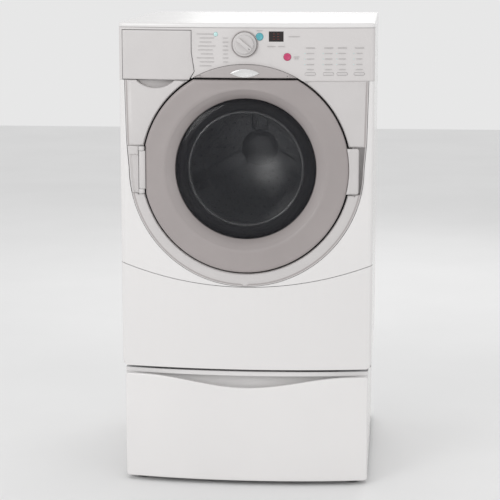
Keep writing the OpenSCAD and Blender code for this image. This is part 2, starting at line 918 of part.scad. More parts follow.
// A round push button with a shallow domed cap and a stem
module push_button(at) {
  rod_y(button_r, bow_at(at[0], 2), bow_at(at[0], -4), at[0], at[1]);
  rod_y(button_r - 3, bow_at(at[0], 3), bow_at(at[0], 1), at[0], at[1]);
  rod_y(3, bow_at(at[0], -3), -334, at[0], at[1]);
}
module power_button() { color("mediumturquoise") push_button(power_at); }
module start_button() { color("mediumvioletred") push_button(start_at); }

// Option buttons: one pill-shaped button per column, each pressed on its own
module option_button(x) {
  color("lightgray") {
    intersection() {
      bow_slab(1.8, 4, console_z, console_top);
      along_y(-420, -300) pill(x, option_z, option_w, option_h);
    }
    rod_y(2.5, bow_at(x, -3), -334, x, option_z);
  }
}
module option_button_1() { option_button(option_x[0]); }
module option_button_2() { option_button(option_x[1]); }
module option_button_3() { option_button(option_x[2]); }
module option_button_4() { option_button(option_x[3]); }

// ---------- pedestal ----------

// Welded steel shell: sides, back, deck, and rails front and rear
module pedestal_cabinet() {
  color("whitesmoke") {
    for (side = [-1, 1])
      slab([side * (ped_half - 1) - 1, side * (ped_half - 1) + 1], [-326, 380], [ped_bottom, ped_top]);
    slab([-ped_half, ped_half], [378, 380], [ped_bottom, ped_top]);
    slab([-ped_half, ped_half], [-326, 380], [ped_top - 2, ped_top]);
    intersection() {
      bow_block(-14, -322, ped_lip_z + 2, ped_top);
      slab([-ped_half, ped_half], [-400, -300], [ped_lip_z + 2, ped_top]);
    }
    difference() {
      for (y = [[-324, -264], [320, 378]]) slab([-ped_half, ped_half], y, [ped_bottom, ped_bottom + 3]);
      for (x = [-foot_x, foot_x]) for (y = foot_y) translate([x, y, 0]) cylinder(r = 5.3, h = 40);
    }
  }
}

// Fixed channels that the drawer runs in
module pedestal_rails() {
  color("silver") for (side = [-1, 1]) difference() {
    slab([side * 323 - 9.8, side * 323 + 9.8], [-300, 340], [130, 170]);
    slab([side * 321 - 10.5, side * 321 + 10.5], [-305, 345], [133, 167]);
  }
}

// Four pads that fix the washer to the pedestal
module pedestal_brackets() {
  color("silver") for (x = [-290, 290]) for (y = [-270, 330])
    slab([x - 35, x + 35], [y - 35, y + 35], [ped_top, pedestal_h]);
}

// Four levelling feet
module levelling_feet() {
  color("dimgray") for (x = [-foot_x, foot_x]) for (y = foot_y) translate([x, y, 0]) {
    cylinder(r = 24, h = 8);
    cylinder(r = 16, h = 12);
    cylinder(r = 5, h = 40);
  }
}

// Drawer: open box, bowed front with a scooped top edge, and its sliding members
module pedestal_drawer() {
  color("whitesmoke") {
    difference() {
      slab([-300, 300], [-330, 345], [40, 262]);
      slab([-298, 298], [-328, 343], [42, 270]);
    }
    intersection() {
      bow_slab(0, 3, 0, 400);
      along_y(-420, -300) drawer_front_outline(0);
    }
    intersection() {
      bow_block(-2.5, -328, 0, 400);
      along_y(-420, -328) difference() {
        drawer_front_outline(0);
        drawer_front_outline(3);
        translate([-400, 220]) square([800, 200]);
      }
    }
    slab([1 - ped_half, ped_half - 1], [-330, -328], [ped_bottom + 1, ped_lip_z + 0.8]);
    for (side = [-1, 1]) slab([side * 309 - 9, side * 309 + 9], [-328, 330], [136, 164]);
  }
}
module drawer_front_outline(shrink) {
  steps = 30;
  half = ped_half - shrink;
  polygon(concat(
    [[-half, ped_bottom + shrink], [half, ped_bottom + shrink], [half, ped_lip_z]],
    [for (i = [0:steps]) let (x = scoop_half * (1 - 2 * i / steps)) [x, lip_at(x)]],
    [[-half, ped_lip_z]]
  ));
}

// ---------- assembly ----------

side_panel_left();
side_panel_right();
rear_panel();
rear_service_cover();
top_panel();
top_brace();
base_pan();
front_panel();
lower_service_panel();
facia_trim();
console_panel();
crown_trim();
crown_plate();
display_window();
status_light();
control_board();
dispenser_housing();
inlet_valves();
fill_hose();
tub_front();
tub_rear();
door_gasket();
front_counterweight();
top_counterweight();
tub_springs();
shock_absorbers();
shaft_bearings();
motor();
drive_belt();
drain_pump();
sump_hose();
drain_hose();
power_cord_gland();
door_lock();
hinge_bracket();
hinge_cover();
pedestal_cabinet();
pedestal_rails();
pedestal_brackets();
levelling_feet();
door_frame();
door_window();
door_bowl();
door_inner_frame();
door_handle();
hinge_arm();
door_strike();
drum();
drum_spider();
drum_pulley();
motor_pulley();
dispenser_drawer();
cycle_knob();
power_button();
start_button();
option_button_1();
option_button_2();
option_button_3();
option_button_4();
pedestal_drawer();
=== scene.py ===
import json
from math import asin, cos, degrees, floor, pi, radians, sin, sqrt, tau

import bmesh
import bpy
from mathutils import Matrix, Vector


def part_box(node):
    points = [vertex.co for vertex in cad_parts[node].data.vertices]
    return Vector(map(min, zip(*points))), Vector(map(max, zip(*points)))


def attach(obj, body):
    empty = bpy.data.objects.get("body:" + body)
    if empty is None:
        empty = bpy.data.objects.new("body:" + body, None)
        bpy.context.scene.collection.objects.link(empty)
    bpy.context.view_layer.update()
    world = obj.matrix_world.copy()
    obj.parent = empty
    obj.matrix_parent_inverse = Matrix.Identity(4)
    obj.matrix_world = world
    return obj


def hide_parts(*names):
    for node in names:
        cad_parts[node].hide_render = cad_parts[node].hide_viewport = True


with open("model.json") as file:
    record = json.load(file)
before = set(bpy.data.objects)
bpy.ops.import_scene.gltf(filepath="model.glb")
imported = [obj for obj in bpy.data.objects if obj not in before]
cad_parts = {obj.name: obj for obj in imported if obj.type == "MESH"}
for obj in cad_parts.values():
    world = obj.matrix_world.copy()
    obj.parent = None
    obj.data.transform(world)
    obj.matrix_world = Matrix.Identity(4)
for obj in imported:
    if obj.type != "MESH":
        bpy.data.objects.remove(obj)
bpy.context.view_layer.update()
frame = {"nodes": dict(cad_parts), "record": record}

# ---- sizes, in metres, from the frame


def middle(node):
    low, high = (Vector(corner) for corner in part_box(node))
    return (low + high) / 2


def round_key(node):
    """A round piece's centre x and z, its radius, its front y and its back y."""
    low, high = limits(node)
    return (low.x + high.x) / 2, (low.z + high.z) / 2, (high.x - low.x) / 2, low.y, high.y


def limits(node):
    low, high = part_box(node)
    return Vector(low), Vector(high)


HALF_W = limits("top_panel")[1].x
FRONT_Y = limits("lower_service_panel")[0].y
BOW_RISE = 0.032
BOW_R = (HALF_W**2 + BOW_RISE**2) / (2 * BOW_RISE)
BOW_Y = FRONT_Y + BOW_R
CORNER_R = 0.012
CORNER_Y = BOW_Y - sqrt((BOW_R - CORNER_R) ** 2 - (HALF_W - CORNER_R) ** 2)
CONSOLE_LOW, CONSOLE_HIGH = (corner.z for corner in limits("console_panel"))
DOOR_Z = middle("door_window").z
DOOR_R = limits("door_frame")[1].x
DOOR_FLAT = limits("door_frame")[1].z - DOOR_Z
WINDOW_R = 0.19
DOOR_PROUD = 0.014


def bow(x, proud=0.0):
    """Y of the bowed front at x, standing out by proud."""
    return BOW_Y - sqrt((BOW_R + proud) ** 2 - x * x)


# ---- materials


def shader(name="finish"):
    """A new material; returns it with its node tree and its Principled shader."""
    material = bpy.data.materials.new(name)
    material.use_nodes = True
    tree = material.node_tree
    return material, tree, tree.nodes["Principled BSDF"]


def node(tree, kind, **values):
    made = tree.nodes.new(kind)
    for key, value in values.items():
        if key in made.inputs:
            made.inputs[key].default_value = value
        else:
            setattr(made, key, value)
    return made


def scaled(tree, stretch=(1, 1, 1)):
    """Object coordinates in metres, stretched per axis."""
    place = node(tree, "ShaderNodeTexCoord")
    mapping = node(tree, "ShaderNodeMapping")
    mapping.inputs["Scale"].default_value = stretch
    tree.links.new(place.outputs["Object"], mapping.inputs["Vector"])
    return mapping.outputs["Vector"]


def noise(tree, scale, detail=2.0, stretch=(1, 1, 1)):
    made = node(tree, "ShaderNodeTexNoise", Scale=scale, Detail=detail)
    tree.links.new(scaled(tree, stretch), made.inputs["Vector"])
    return made.outputs["Fac"]


def spread(tree, source, low, high, source_low=0.3, source_high=0.7):
    """Maps a noise onto the range low to high."""
    made = node(tree, "ShaderNodeMapRange")
    for key, value in (("From Min", source_low), ("From Max", source_high),
                       ("To Min", low), ("To Max", high)):
        made.inputs[key].default_value = value
    tree.links.new(source, made.inputs["Value"])
    return made.outputs["Result"]


def blend(tree, factor, first, second):
    """Mixes two colours by a factor; either may be an RGB triple or a socket."""
    mix = node(tree, "ShaderNodeMix", data_type="RGBA")
    tree.links.new(factor, mix.inputs["Factor"])
    for socket, value in ((mix.inputs[6], first), (mix.inputs[7], second)):
        if isinstance(value, bpy.types.NodeSocket):
            tree.links.new(value, socket)
        else:
            socket.default_value = (*value, 1)
    return mix.outputs[2]


def worn(tree, factor, first, second, edge):
    """Mixes two colours by a factor, and turns to a third on sharp convex edges."""
    tinted = blend(tree, factor, first, second)
    geometry = node(tree, "ShaderNodeNewGeometry")
    on_edge = spread(tree, geometry.outputs["Pointiness"], 0, 1, 0.53, 0.62)
    return blend(tree, on_edge, tinted, edge)


def surface(tree, bsdf, color, rough, layers):
    """Links colour, roughness and stacked bump layers: (height socket, strength, distance)."""
    tree.links.new(color, bsdf.inputs["Base Color"])
    tree.links.new(rough, bsdf.inputs["Roughness"])
    normal = None
    for height, strength, distance in layers:
        bump = node(tree, "ShaderNodeBump", Strength=strength, Distance=distance)
        tree.links.new(height, bump.inputs["Height"])
        if normal:
            tree.links.new(normal, bump.inputs["Normal"])
        normal = bump.outputs["Normal"]
    tree.links.new(normal, bsdf.inputs["Normal"])


def shade(color, factor):
    return tuple(min(1.0, channel * factor) for channel in color)


def enamel(color, rough=0.24):
    """Baked enamel on sheet steel: faint orange peel, soft clouding, rubbed edges."""
    material, tree, bsdf = shader()
    final = worn(tree, spread(tree, noise(tree, 3.0, 3), 0, 1), shade(color, 0.975), shade(color, 1.01),
                 shade(color, 0.965))
    bsdf.inputs["Coat Weight"].default_value = 0.25
    bsdf.inputs["Coat Roughness"].default_value = 0.12
    surface(tree, bsdf, final, spread(tree, noise(tree, 4, 3), rough - 0.015, rough + 0.025),
            [(noise(tree, 420, 1), 0.05, 0.0004), (noise(tree, 6, 1), 0.04, 0.002)])
    return material


def plastic(color, rough=0.42, grain=1500, depth=0.1, variation=0.03, coat=0.0):
    """Moulded plastic: fine spark-eroded grain, slight shade variation, polished edges."""
    material, tree, bsdf = shader()
    final = worn(tree, spread(tree, noise(tree, 9.0, 3), 0, 1), shade(color, 1 - variation),
                 shade(color, 1 + variation / 2), shade(color, 1.08))
    bsdf.inputs["Coat Weight"].default_value = coat
    surface(tree, bsdf, final, spread(tree, noise(tree, 60, 4), rough - 0.05, rough + 0.06),
            [(noise(tree, grain, 2), depth, 0.0003)])
    return material


def metal(color, rough=0.3, brush=(1, 1, 1), brush_scale=900, depth=0.08, dull=0.85):
    """Bare metal: brushing or a cast skin, blotches of handling, brighter edges."""
    material, tree, bsdf = shader()
    bsdf.inputs["Metallic"].default_value = 1.0
    final = worn(tree, spread(tree, noise(tree, 14, 5), 0, 1), shade(color, dull), color,
                 shade(color, 1.15))
    lines = noise(tree, brush_scale, 3, brush)
    surface(tree, bsdf, final, spread(tree, lines, rough - 0.08, rough + 0.12), [(lines, depth, 0.0003)])
    return material


def spangled(color):
    """Galvanised sheet: large crystal facets with a dull bloom."""
    material, tree, bsdf = shader()
    bsdf.inputs["Metallic"].default_value = 0.9
    crystal = node(tree, "ShaderNodeTexVoronoi", Scale=110.0)
    tree.links.new(scaled(tree), crystal.inputs["Vector"])
    facet = node(tree, "ShaderNodeSeparateColor")
    tree.links.new(crystal.outputs["Color"], facet.inputs["Color"])
    final = worn(tree, facet.outputs["Red"], shade(color, 0.84), shade(color, 1.08), shade(color, 1.2))
    surface(tree, bsdf, final, spread(tree, facet.outputs["Green"], 0.34, 0.5, 0, 1),
            [(noise(tree, 300, 2), 0.05, 0.0003)])
    return material


def rough_solid(color, rough=0.85, scale=220, depth=0.5, specks=0.25):
    """Rubber, cast iron or concrete: pitted and mottled."""
    material, tree, bsdf = shader()
    final = worn(tree, spread(tree, noise(tree, scale / 4, 6), 0, 1), shade(color, 1 - specks),
                 shade(color, 1 + specks), shade(color, 1.3))
    surface(tree, bsdf, final, spread(tree, noise(tree, scale, 3), rough - 0.1, min(1, rough + 0.08)),
            [(noise(tree, scale, 4), depth, 0.0006)])
    return material


def glass(color, alpha, rough=0.06):
    """Tinted polished glass, seen through by its alpha, with faint smears in the polish."""
    material, tree, bsdf = shader()
    smear = noise(tree, 7, 5, (1, 1, 2.5))
    bsdf.inputs["Alpha"].default_value = alpha
    bsdf.inputs["IOR"].default_value = 1.4
    surface(tree, bsdf, blend(tree, spread(tree, smear, 0, 1), color, shade(color, 1.35)),
            spread(tree, smear, rough, rough + 0.05), [(noise(tree, 4, 1), 0.03, 0.003)])
    return material


MATERIALS = {
    "white_enamel": enamel((0.8, 0.785, 0.78)),
    "white_plastic": plastic((0.76, 0.75, 0.74), 0.38),
    "grey_facia": plastic((0.605, 0.583, 0.578), 0.4, coat=0.05),
    "door_grey": plastic((0.355, 0.32, 0.315), 0.4, coat=0.15, variation=0.04),
    "crown_grey": plastic((0.43, 0.4, 0.395), 0.36, coat=0.2),
    "dark_glass": glass((0.01, 0.01, 0.013), 0.42),
    "bowl_glass": glass((0.2, 0.22, 0.23), 0.16),
    "gasket_rubber": rough_solid((0.2, 0.2, 0.205), 0.7, 900, 0.15, 0.08),
    "black_rubber": rough_solid((0.02, 0.02, 0.021), 0.75, 700, 0.2, 0.2),
    "stainless": metal((0.6, 0.61, 0.62), 0.28, (1, 0.04, 1)),
    "zinc_steel": spangled((0.52, 0.53, 0.54)),
    "cast_alloy": metal((0.5, 0.51, 0.52), 0.5, brush_scale=350, depth=0.3),
    "cast_iron": rough_solid((0.07, 0.07, 0.075), 0.55, 300, 0.3),
    "concrete": rough_solid((0.36, 0.35, 0.33), 0.95, 160, 0.7, 0.15),
    "bright_plate": metal((0.82, 0.82, 0.82), 0.22, (0.05, 1, 1)),
    "black_plastic": plastic((0.025, 0.025, 0.028), 0.5),
    "tub_plastic": plastic((0.52, 0.52, 0.5), 0.5, 500, 0.2),
    "display_dark": plastic((0.01, 0.005, 0.005), 0.22, 800, 0.02, coat=0.1),
    "display_glow": plastic((0.16, 0.022, 0.015), 0.3, 800, 0.02),
    "label_print": plastic((0.49, 0.47, 0.465), 0.45),
    "indicator": plastic((0.52, 0.78, 0.76), 0.22, 800, 0.03, coat=0.4),
    "teal_button": plastic((0.1, 0.42, 0.48), 0.3, 900, 0.05, coat=0.3),
    "red_button": plastic((0.55, 0.045, 0.15), 0.3, 900, 0.05, coat=0.3),
    "circuit_green": plastic((0.01, 0.09, 0.035), 0.4, 600, 0.3),
    "valve_blue": plastic((0.015, 0.05, 0.25), 0.42),
}
for name, material in MATERIALS.items():
    material.name = name
SLOT_OF = {entry["node"]: entry["material_slot"] for entry in frame["record"]["subparts"]}

for name, piece in frame["nodes"].items():
    piece.data.materials.clear()
    piece.data.materials.append(MATERIALS[SLOT_OF[name]])


# ---- mesh helpers


def add_piece(name, mesh, slot, body, replaced=()):
    """Links a mesh, or a list of meshes, as a piece on a body, with the finish of a slot."""
    if isinstance(mesh, list):
        mesh = join_meshes(mesh)
    mesh.name = name
    piece = bpy.data.objects.new(name, mesh)
    bpy.context.scene.collection.objects.link(piece)
    mesh.materials.append(MATERIALS[slot])
    slot = {"display_glow": "display_dark", "label_print": "grey_facia"}.get(slot, slot)
    mesh.polygons.foreach_set("use_smooth", [True] * len(mesh.polygons))
    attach(piece, body)
    if replaced:
        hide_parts(*replaced)
    return piece


def to_mesh(form):
    """Writes a bmesh to a new mesh and frees it."""
    mesh = bpy.data.meshes.new("part")
    form.to_mesh(mesh)
    form.free()
    return mesh


def loft_mesh(rows, close_rows=False, close_columns=False, caps=False):
    """A skin over rows of points; rows and columns may each close into a loop."""
    mesh = bpy.data.meshes.new("part")
    count = len(rows[0])
    points = [tuple(point) for row in rows for point in row]
    faces = []
    for i in range(len(rows) if close_rows else len(rows) - 1):
        for j in range(count if close_columns else count - 1):
            here, there = i * count, (i + 1) % len(rows) * count
            k = (j + 1) % count
            faces.append((here + j, here + k, there + k, there + j))
    if caps:
        faces.append(tuple(range(count))[::-1])
        faces.append(tuple(range((len(rows) - 1) * count, len(rows) * count)))
    mesh.from_pydata(points, [], faces)
    tidy = bmesh.new()
    tidy.from_mesh(mesh)
    bmesh.ops.remove_doubles(tidy, verts=tidy.verts, dist=1e-6)
    bmesh.ops.recalc_face_normals(tidy, faces=tidy.faces)
    tidy.to_mesh(mesh)
    tidy.free()
    return mesh


def turned_mesh(profile, x, z, steps=128, radius_of=None):
    """Turns a [radius, y] profile about the line along Y through (x, z)."""
    rows = []
    for step in range(steps):
        angle = tau * step / steps
        row = []
        for index, (radius, y) in enumerate(profile):
            if radius_of:
                radius = radius_of(radius, angle, index)
            row.append((x + radius * cos(angle), y, z + radius * sin(angle)))
        rows.append(row)
    return loft_mesh(rows, close_rows=True)


def arc(centre, radius, start, end, steps=6):
    """Points of an arc in the profile plane, from one angle in degrees to another."""
    angles = [radians(start + (end - start) * i / steps) for i in range(steps + 1)]
    return [(centre[0] + radius * cos(a), centre[1] + radius * sin(a)) for a in angles]


def around(radius, y, angle):
    """A point at a radius and an angle about the door's axis."""
    return radius * cos(angle), y, DOOR_Z + radius * sin(angle)


def rounded_box(low, high, radius, segments=3):
    """A box with all its edges rounded."""
    form = bmesh.new()
    bmesh.ops.create_cube(form, size=1)
    for vertex in form.verts:
        for axis in range(3):
            vertex.co[axis] = low[axis] if vertex.co[axis] < 0 else high[axis]
    bmesh.ops.bevel(form, geom=form.edges[:], offset=radius, segments=segments, profile=0.5, affect="EDGES")
    return to_mesh(form)


def join_meshes(meshes):
    """One mesh made of several."""
    form = bmesh.new()
    for part in meshes:
        form.from_mesh(part)
    bmesh.ops.remove_doubles(form, verts=form.verts, dist=2e-6)
    return to_mesh(form)


def turned_about(mesh, degrees, axis, pivot):
    """Turns a mesh in place."""
    mesh.transform(Matrix.Translation(pivot) @ Matrix.Rotation(radians(degrees), 4, axis)
                   @ Matrix.Translation(-Vector(pivot)))
    return mesh


# ---- door

HINGE_LOW, HINGE_HIGH = (corner.z for corner in limits("hinge_bracket"))


def door_edge(angle, grow=0.0):
    """Distance from the door's centre to its edge, with the flat top and the step for the hinge."""
    reach = DOOR_R + grow
    if sin(angle) > 0:
        reach = min(reach, (DOOR_FLAT + grow) / sin(angle))
    height = DOOR_Z + reach * sin(angle)
    if cos(angle) < 0 and HINGE_LOW - 0.001 < height < HINGE_HIGH + 0.001:
        reach = min(reach, 0.27 / -cos(angle))
    return reach


def make_door_ring():
    """The door's outer ring: rolled edge, gently crowned face, and a coved bevel down to the window."""
    edge_round, face_inner, window_y = 0.007, 0.2165, -0.356
    rows = []
    for step in range(720):
        angle = tau * step / 720
        across, up = cos(angle), sin(angle)
        outer = door_edge(angle)
        row = [(WINDOW_R, -0.3548, None), (outer - 0.001, -0.3451, None), (outer, -0.3462, None)]
        for turn in range(7):
            tilt = radians(90 * turn / 6)
            row.append((outer - edge_round * (1 - cos(tilt)), None,
                        DOOR_PROUD - edge_round * (1 - sin(tilt))))
        for part in range(1, 6):
            share = part / 6
            lift = -0.0012 * sin(pi * share)
            row.append((outer - edge_round + (face_inner - outer + edge_round) * share, None,
                        DOOR_PROUD + lift))
        points = []
        for radius, y, proud in row:
            x = radius * across
            points.append((x, bow(x, proud) if y is None else y, DOOR_Z + radius * up))
        lip_y = bow(face_inner * across, DOOR_PROUD)
        for part in range(0, 13):
            share = part / 12
            radius = face_inner + (WINDOW_R - face_inner) * share
            drop = share**0.75 * 0.5 + share**2.2 * 0.5
            points.append((radius * across, lip_y + (window_y - lip_y) * drop, DOOR_Z + radius * up))
        rows.append(points)
    mesh = loft_mesh(rows, close_rows=True, close_columns=True)
    add_piece("door_ring", mesh, "door_grey", "door", ["door_frame"])


def make_window():
    """Smoked outer window, slightly domed, with a ground edge."""
    front = -0.3582
    profile = [(0.0, front - 0.0012)]
    profile += [(WINDOW_R * i / 8, front - 0.0012 * (1 - (i / 8) ** 2)) for i in range(1, 8)]
    profile += [(WINDOW_R - 0.001, front), (WINDOW_R - 0.0002, front + 0.001), (WINDOW_R - 0.0002, -0.35),
                (0.1, -0.3502), (0.0, -0.3505)]
    add_piece("smoked_window", turned_mesh(profile, 0, DOOR_Z, 144), "dark_glass", "door",
                 ["door_window"])
    # Black band behind the window's rim: painted shade, darkening the door's inner frame seen through the
    # glass.
    band = [(0.158, -0.3492), (0.1584, -0.3497), (0.188, -0.3497), (0.188, -0.3492), (0.158, -0.3492)]
    add_piece("window_shade_band", turned_mesh(band, 0, DOOR_Z, 144), "black_plastic", "door")


def make_bowl():
    """Pressed glass bowl with a rolled rim, and a bright metal ring on the rim as painted highlight."""
    outer = [(0.16, -0.3492), (0.16, -0.3445), (0.153, -0.344), (0.15, -0.335), (0.1462, -0.318),
             (0.141, -0.299), (0.136, -0.282), (0.1312, -0.268), (0.1262, -0.257), (0.119, -0.248),
             (0.11, -0.2425), (0.09, -0.2378), (0.06, -0.2348), (0.03, -0.2334), (0.0, -0.233)]
    inner = [(0.0, -0.2375), (0.03, -0.238), (0.06, -0.2392), (0.088, -0.2415), (0.107, -0.2468),
             (0.115, -0.252), (0.122, -0.26), (0.127, -0.271), (0.1318, -0.285), (0.1368, -0.302),
             (0.1412, -0.319), (0.145, -0.336), (0.147, -0.3492)]
    mesh = turned_mesh(outer + inner + [outer[0]], 0, DOOR_Z, 144)
    add_piece("glass_bowl", mesh, "bowl_glass", "door", ["door_bowl"])
    # Bright metal ring on the bowl's rim: painted highlight for the light caught along the rim.
    ring = turned_mesh(arc((0.1535, -0.3462), 0.003, 0, 360, 16), 0, DOOR_Z, 144)
    add_piece("bowl_rim_highlight", ring, "bright_plate", "door")


def make_door_screws():
    """Screws on the door's inner face, seen when the door is open."""
    heads = []
    for index in range(10):
        angle = radians(18 + 36 * index)
        x, z = 0.246 * cos(angle), DOOR_Z + 0.246 * sin(angle)
        if abs(z - DOOR_Z) < 0.05:
            continue
        profile = [(0.0, -0.3208), (0.0016, -0.3208), (0.0018, -0.32), (0.0034, -0.3202), (0.0042, -0.3215),
                   (0.0042, -0.3222), (0.0, -0.3222)]
        heads.append(turned_mesh(profile, x, z, 20))
    add_piece("door_screws", heads, "stainless", "door")


# ---- controls


def make_knob():
    """Cycle knob: skirt, fluted grip and a raised pointer bar with a mark at one end."""
    x, z, radius, front, _ = round_key("cycle_knob")
    back = -0.3745
    skirt = [(0.0, back), (radius - 0.001, back), (radius, back - 0.001), (radius, back - 0.004)]
    skirt += arc((radius - 0.0035, back - 0.004), 0.0035, 0, -90, 5)
    skirt += [(radius - 0.0062, back - 0.0078), (radius - 0.0066, back - 0.0085),
              (radius - 0.0072, -0.3885)]
    skirt += arc((radius - 0.01, -0.3885), 0.0028, 0, -90, 5)
    skirt += [(0.015, -0.3908), (0.0, -0.3905)]

    def fluted(r, angle, index):
        inside = 10 <= index <= 13
        return r - (0.0007 * (0.5 + 0.5 * cos(24 * angle)) if inside else 0)

    dial = turned_mesh(skirt, x, z, 192, fluted)
    bar = rounded_box((x - radius + 0.008, front, z - 0.0052), (x + radius - 0.008, -0.3895, z + 0.0052),
                      0.0024, 4)
    turned_about(bar, 40, "Y", (x, 0, z))
    add_piece("knob_dial", [dial, bar], "grey_facia", "knob", ["cycle_knob"])
    mark = rounded_box((x + radius - 0.017, front, z - 0.0012),
                       (x + radius - 0.0105, front + 0.002, z + 0.0012), 0.0005, 2)
    turned_about(mark, 40, "Y", (x, 0, z))
    add_piece("knob_mark", mark, "crown_grey", "knob")
    collar = [(radius + 0.0006, -0.3728), (radius + 0.0028, -0.3732),
              *arc((radius + 0.0022, -0.3738), 0.0014, 20, -160, 6),
              (radius + 0.0006, -0.3728)]
    add_piece("knob_collar", turned_mesh(collar, x, z, 128), "crown_grey", "cabinet")


def make_key(node_name, slot, body):
    """Round key: rolled rim, shallow dish and a stem."""
    x, z, radius, front, back = round_key(node_name)
    profile = [(0.0, back), (0.003, back), (0.003, front + 0.0075), (radius - 0.0008, front + 0.0072),
               (radius, front + 0.0064), (radius, front + 0.003)]
    profile += arc((radius - 0.0026, front + 0.003), 0.0026, 0, -90, 5)
    profile += [(radius * 0.6, front + 0.0009), (radius * 0.3, front + 0.0014), (0.0, front + 0.0016)]
    add_piece(node_name + "_cap", turned_mesh(profile, x, z, 64), slot, body, [node_name])


def make_option_key(number):
    """Pill-shaped key with a crowned face that follows the console."""
    name = f"option_button_{number}"
    low, high = limits(name)
    x, z = (low.x + high.x) / 2, (low.z + high.z) / 2
    half, tall = (high.x - low.x) / 2, (high.z - low.z) / 2
    rows = []
    for inset, proud in ((0.0, -0.004), (0.0, 0.0006), (0.0004, 0.0012), (0.0012, 0.0017),
                         (0.0024, 0.0018)):
        row = []
        for step in range(48):
            angle = tau * step / 48
            side = half - tall if cos(angle) > 0 else tall - half
            px = x + side + (tall - inset) * cos(angle)
            row.append((px, bow(px, proud), z + (tall - inset) * sin(angle)))
        rows.append(row)
    cap = loft_mesh(rows, close_columns=True, caps=True)
    stem = turned_mesh([(0.0, high.y), (0.0025, high.y), (0.0025, bow(x, -0.0038)), (0.0, bow(x, -0.0038))],
                       x, z, 24)
    add_piece(name + "_cap", [cap, stem], "grey_facia", f"option_key_{number}", [name])


make_door_ring()
make_window()
make_bowl()
make_door_screws()
make_knob()
make_key("power_button", "teal_button", "power_key")
make_key("start_button", "red_button", "start_key")
for number in (1, 2, 3, 4):
    make_option_key(number)


# ---- plates that follow the bowed front


def inset_loop(points, distances):
    """Moves each side of a closed loop of [u, v] points to its left by its own distance."""
    moved, count = [], len(points)
    for i in range(count):
        before, here, after = (Vector(points[k % count]) for k in (i - 1, i, i + 1))
        first, second = (here - before).normalized(), (after - here).normalized()
        one, two = Vector((-first.y, first.x)), Vector((-second.y, second.x))
        near, far = distances[i - 1], distances[i]
        turn = one.x * two.y - one.y * two.x
        if abs(turn) < 0.2:
            moved.append(tuple(here + (one + two) * ((near + far) / 2 / (1 + one.dot(two)))))
        else:
            moved.append((here.x + (near * two.y - far * one.y) / turn,
                          here.y + (far * one.x - near * two.x) / turn))
    return moved


def signed_area(points):
    return 0.5 * sum(a[0] * b[1] - b[0] * a[1] for a, b in zip(points, points[1:] + points[:1]))


def on_front(u, v, height):
    return u, bow(u, height), v


def plate_mesh(loops, profile, place=on_front, step=0.016, width=lambda u, v: 1.0, plain_holes=False):
    """A moulded plate: the first loop is its outline and the others are holes. The profile lists
    [inset, height] from the back of its edge to its face, and place puts a point in the frame."""
    form = bmesh.new()
    rims = []
    for index, loop in enumerate(loops):
        if (signed_area(loop) > 0) != (index == 0):
            loop = loop[::-1]
        shares = [width((a[0] + b[0]) / 2, (a[1] + b[1]) / 2) for a, b in zip(loop, loop[1:] + loop[:1])]
        rings = []
        for inset, height in [(0.0, profile[-1][1])] if plain_holes and index else profile:
            points = inset_loop(loop, [inset * share for share in shares])
            rings.append([form.verts.new((u, v, height)) for u, v in points])
        count = len(loop)
        for low, high in zip(rings, rings[1:]):
            for i in range(count):
                form.faces.new((low[i], low[(i + 1) % count], high[(i + 1) % count], high[i]))
        last = rings[-1]
        for i in range(count):
            pair = (last[i], last[(i + 1) % count])
            rims.append(form.edges.get(pair) or form.edges.new(pair))
    if len(loops) == 1:
        form.faces.new(last)
    else:
        bmesh.ops.triangle_fill(form, use_beauty=True, use_dissolve=False, edges=rims)
    low = min(vertex.co.x for vertex in form.verts)
    high = max(vertex.co.x for vertex in form.verts)
    cut = floor(low / step) * step + step
    while cut < high:
        bmesh.ops.bisect_plane(form, geom=form.verts[:] + form.edges[:] + form.faces[:], dist=1e-7,
                               plane_co=(cut, 0, 0), plane_no=(1, 0, 0))
        cut += step
    for vertex in form.verts:
        vertex.co = place(*vertex.co)
    bmesh.ops.recalc_face_normals(form, faces=form.faces)
    return to_mesh(form)


def roll(radius, top, back, steps=5, crown=0.0):
    """Profile of a rounded edge that ends in a face at height top."""
    points = [(0.0, back)]
    points += [(radius * (1 - cos(radians(90 * i / steps))),
                top - radius * (1 - sin(radians(90 * i / steps)))) for i in range(steps + 1)]
    return points + [(radius + 0.0015, top), (radius + 0.004, top + crown)]


def rounded_rectangle(low, high, radius, steps=5):
    corners = ((high[0] - radius, low[1] + radius, -90), (high[0] - radius, high[1] - radius, 0),
               (low[0] + radius, high[1] - radius, 90), (low[0] + radius, low[1] + radius, 180))
    points = []
    for u, v, angle in corners:
        points += arc((u, v), radius, angle, angle + 90, steps)
    return points


# ---- surround of the door

FACIA_R = DOOR_Z - limits("facia_trim")[0].z
FACIA_TOP_X = limits("facia_trim")[1].x
FACIA_TOP = limits("facia_trim")[1].z
OPENING_R = DOOR_R + 0.005
FACE = 0.0048
KINK_RISE = 0.009
KINK_X = 0.3235
TIGHT, WIDE = 0.2, 1.0


def facia_x(z):
    """Half width of the surround at a height."""
    if z < DOOR_Z:
        return sqrt(max(FACIA_R**2 - (z - DOOR_Z) ** 2, 0))
    bend = HINGE_HIGH + KINK_RISE
    if z < bend:
        return FACIA_R + (KINK_X - FACIA_R) * (z - DOOR_Z) / (bend - DOOR_Z)
    return KINK_X + (FACIA_TOP_X - KINK_X) * (z - bend) / (FACIA_TOP - bend)


def opening_angle(z):
    return degrees(asin((z - DOOR_Z) / OPENING_R))


def edge_width(u, v):
    """The surround rolls away widely at its outside and tightly along the door and the seams."""
    return WIDE if abs(u) > facia_x(v) - 0.0008 else TIGHT


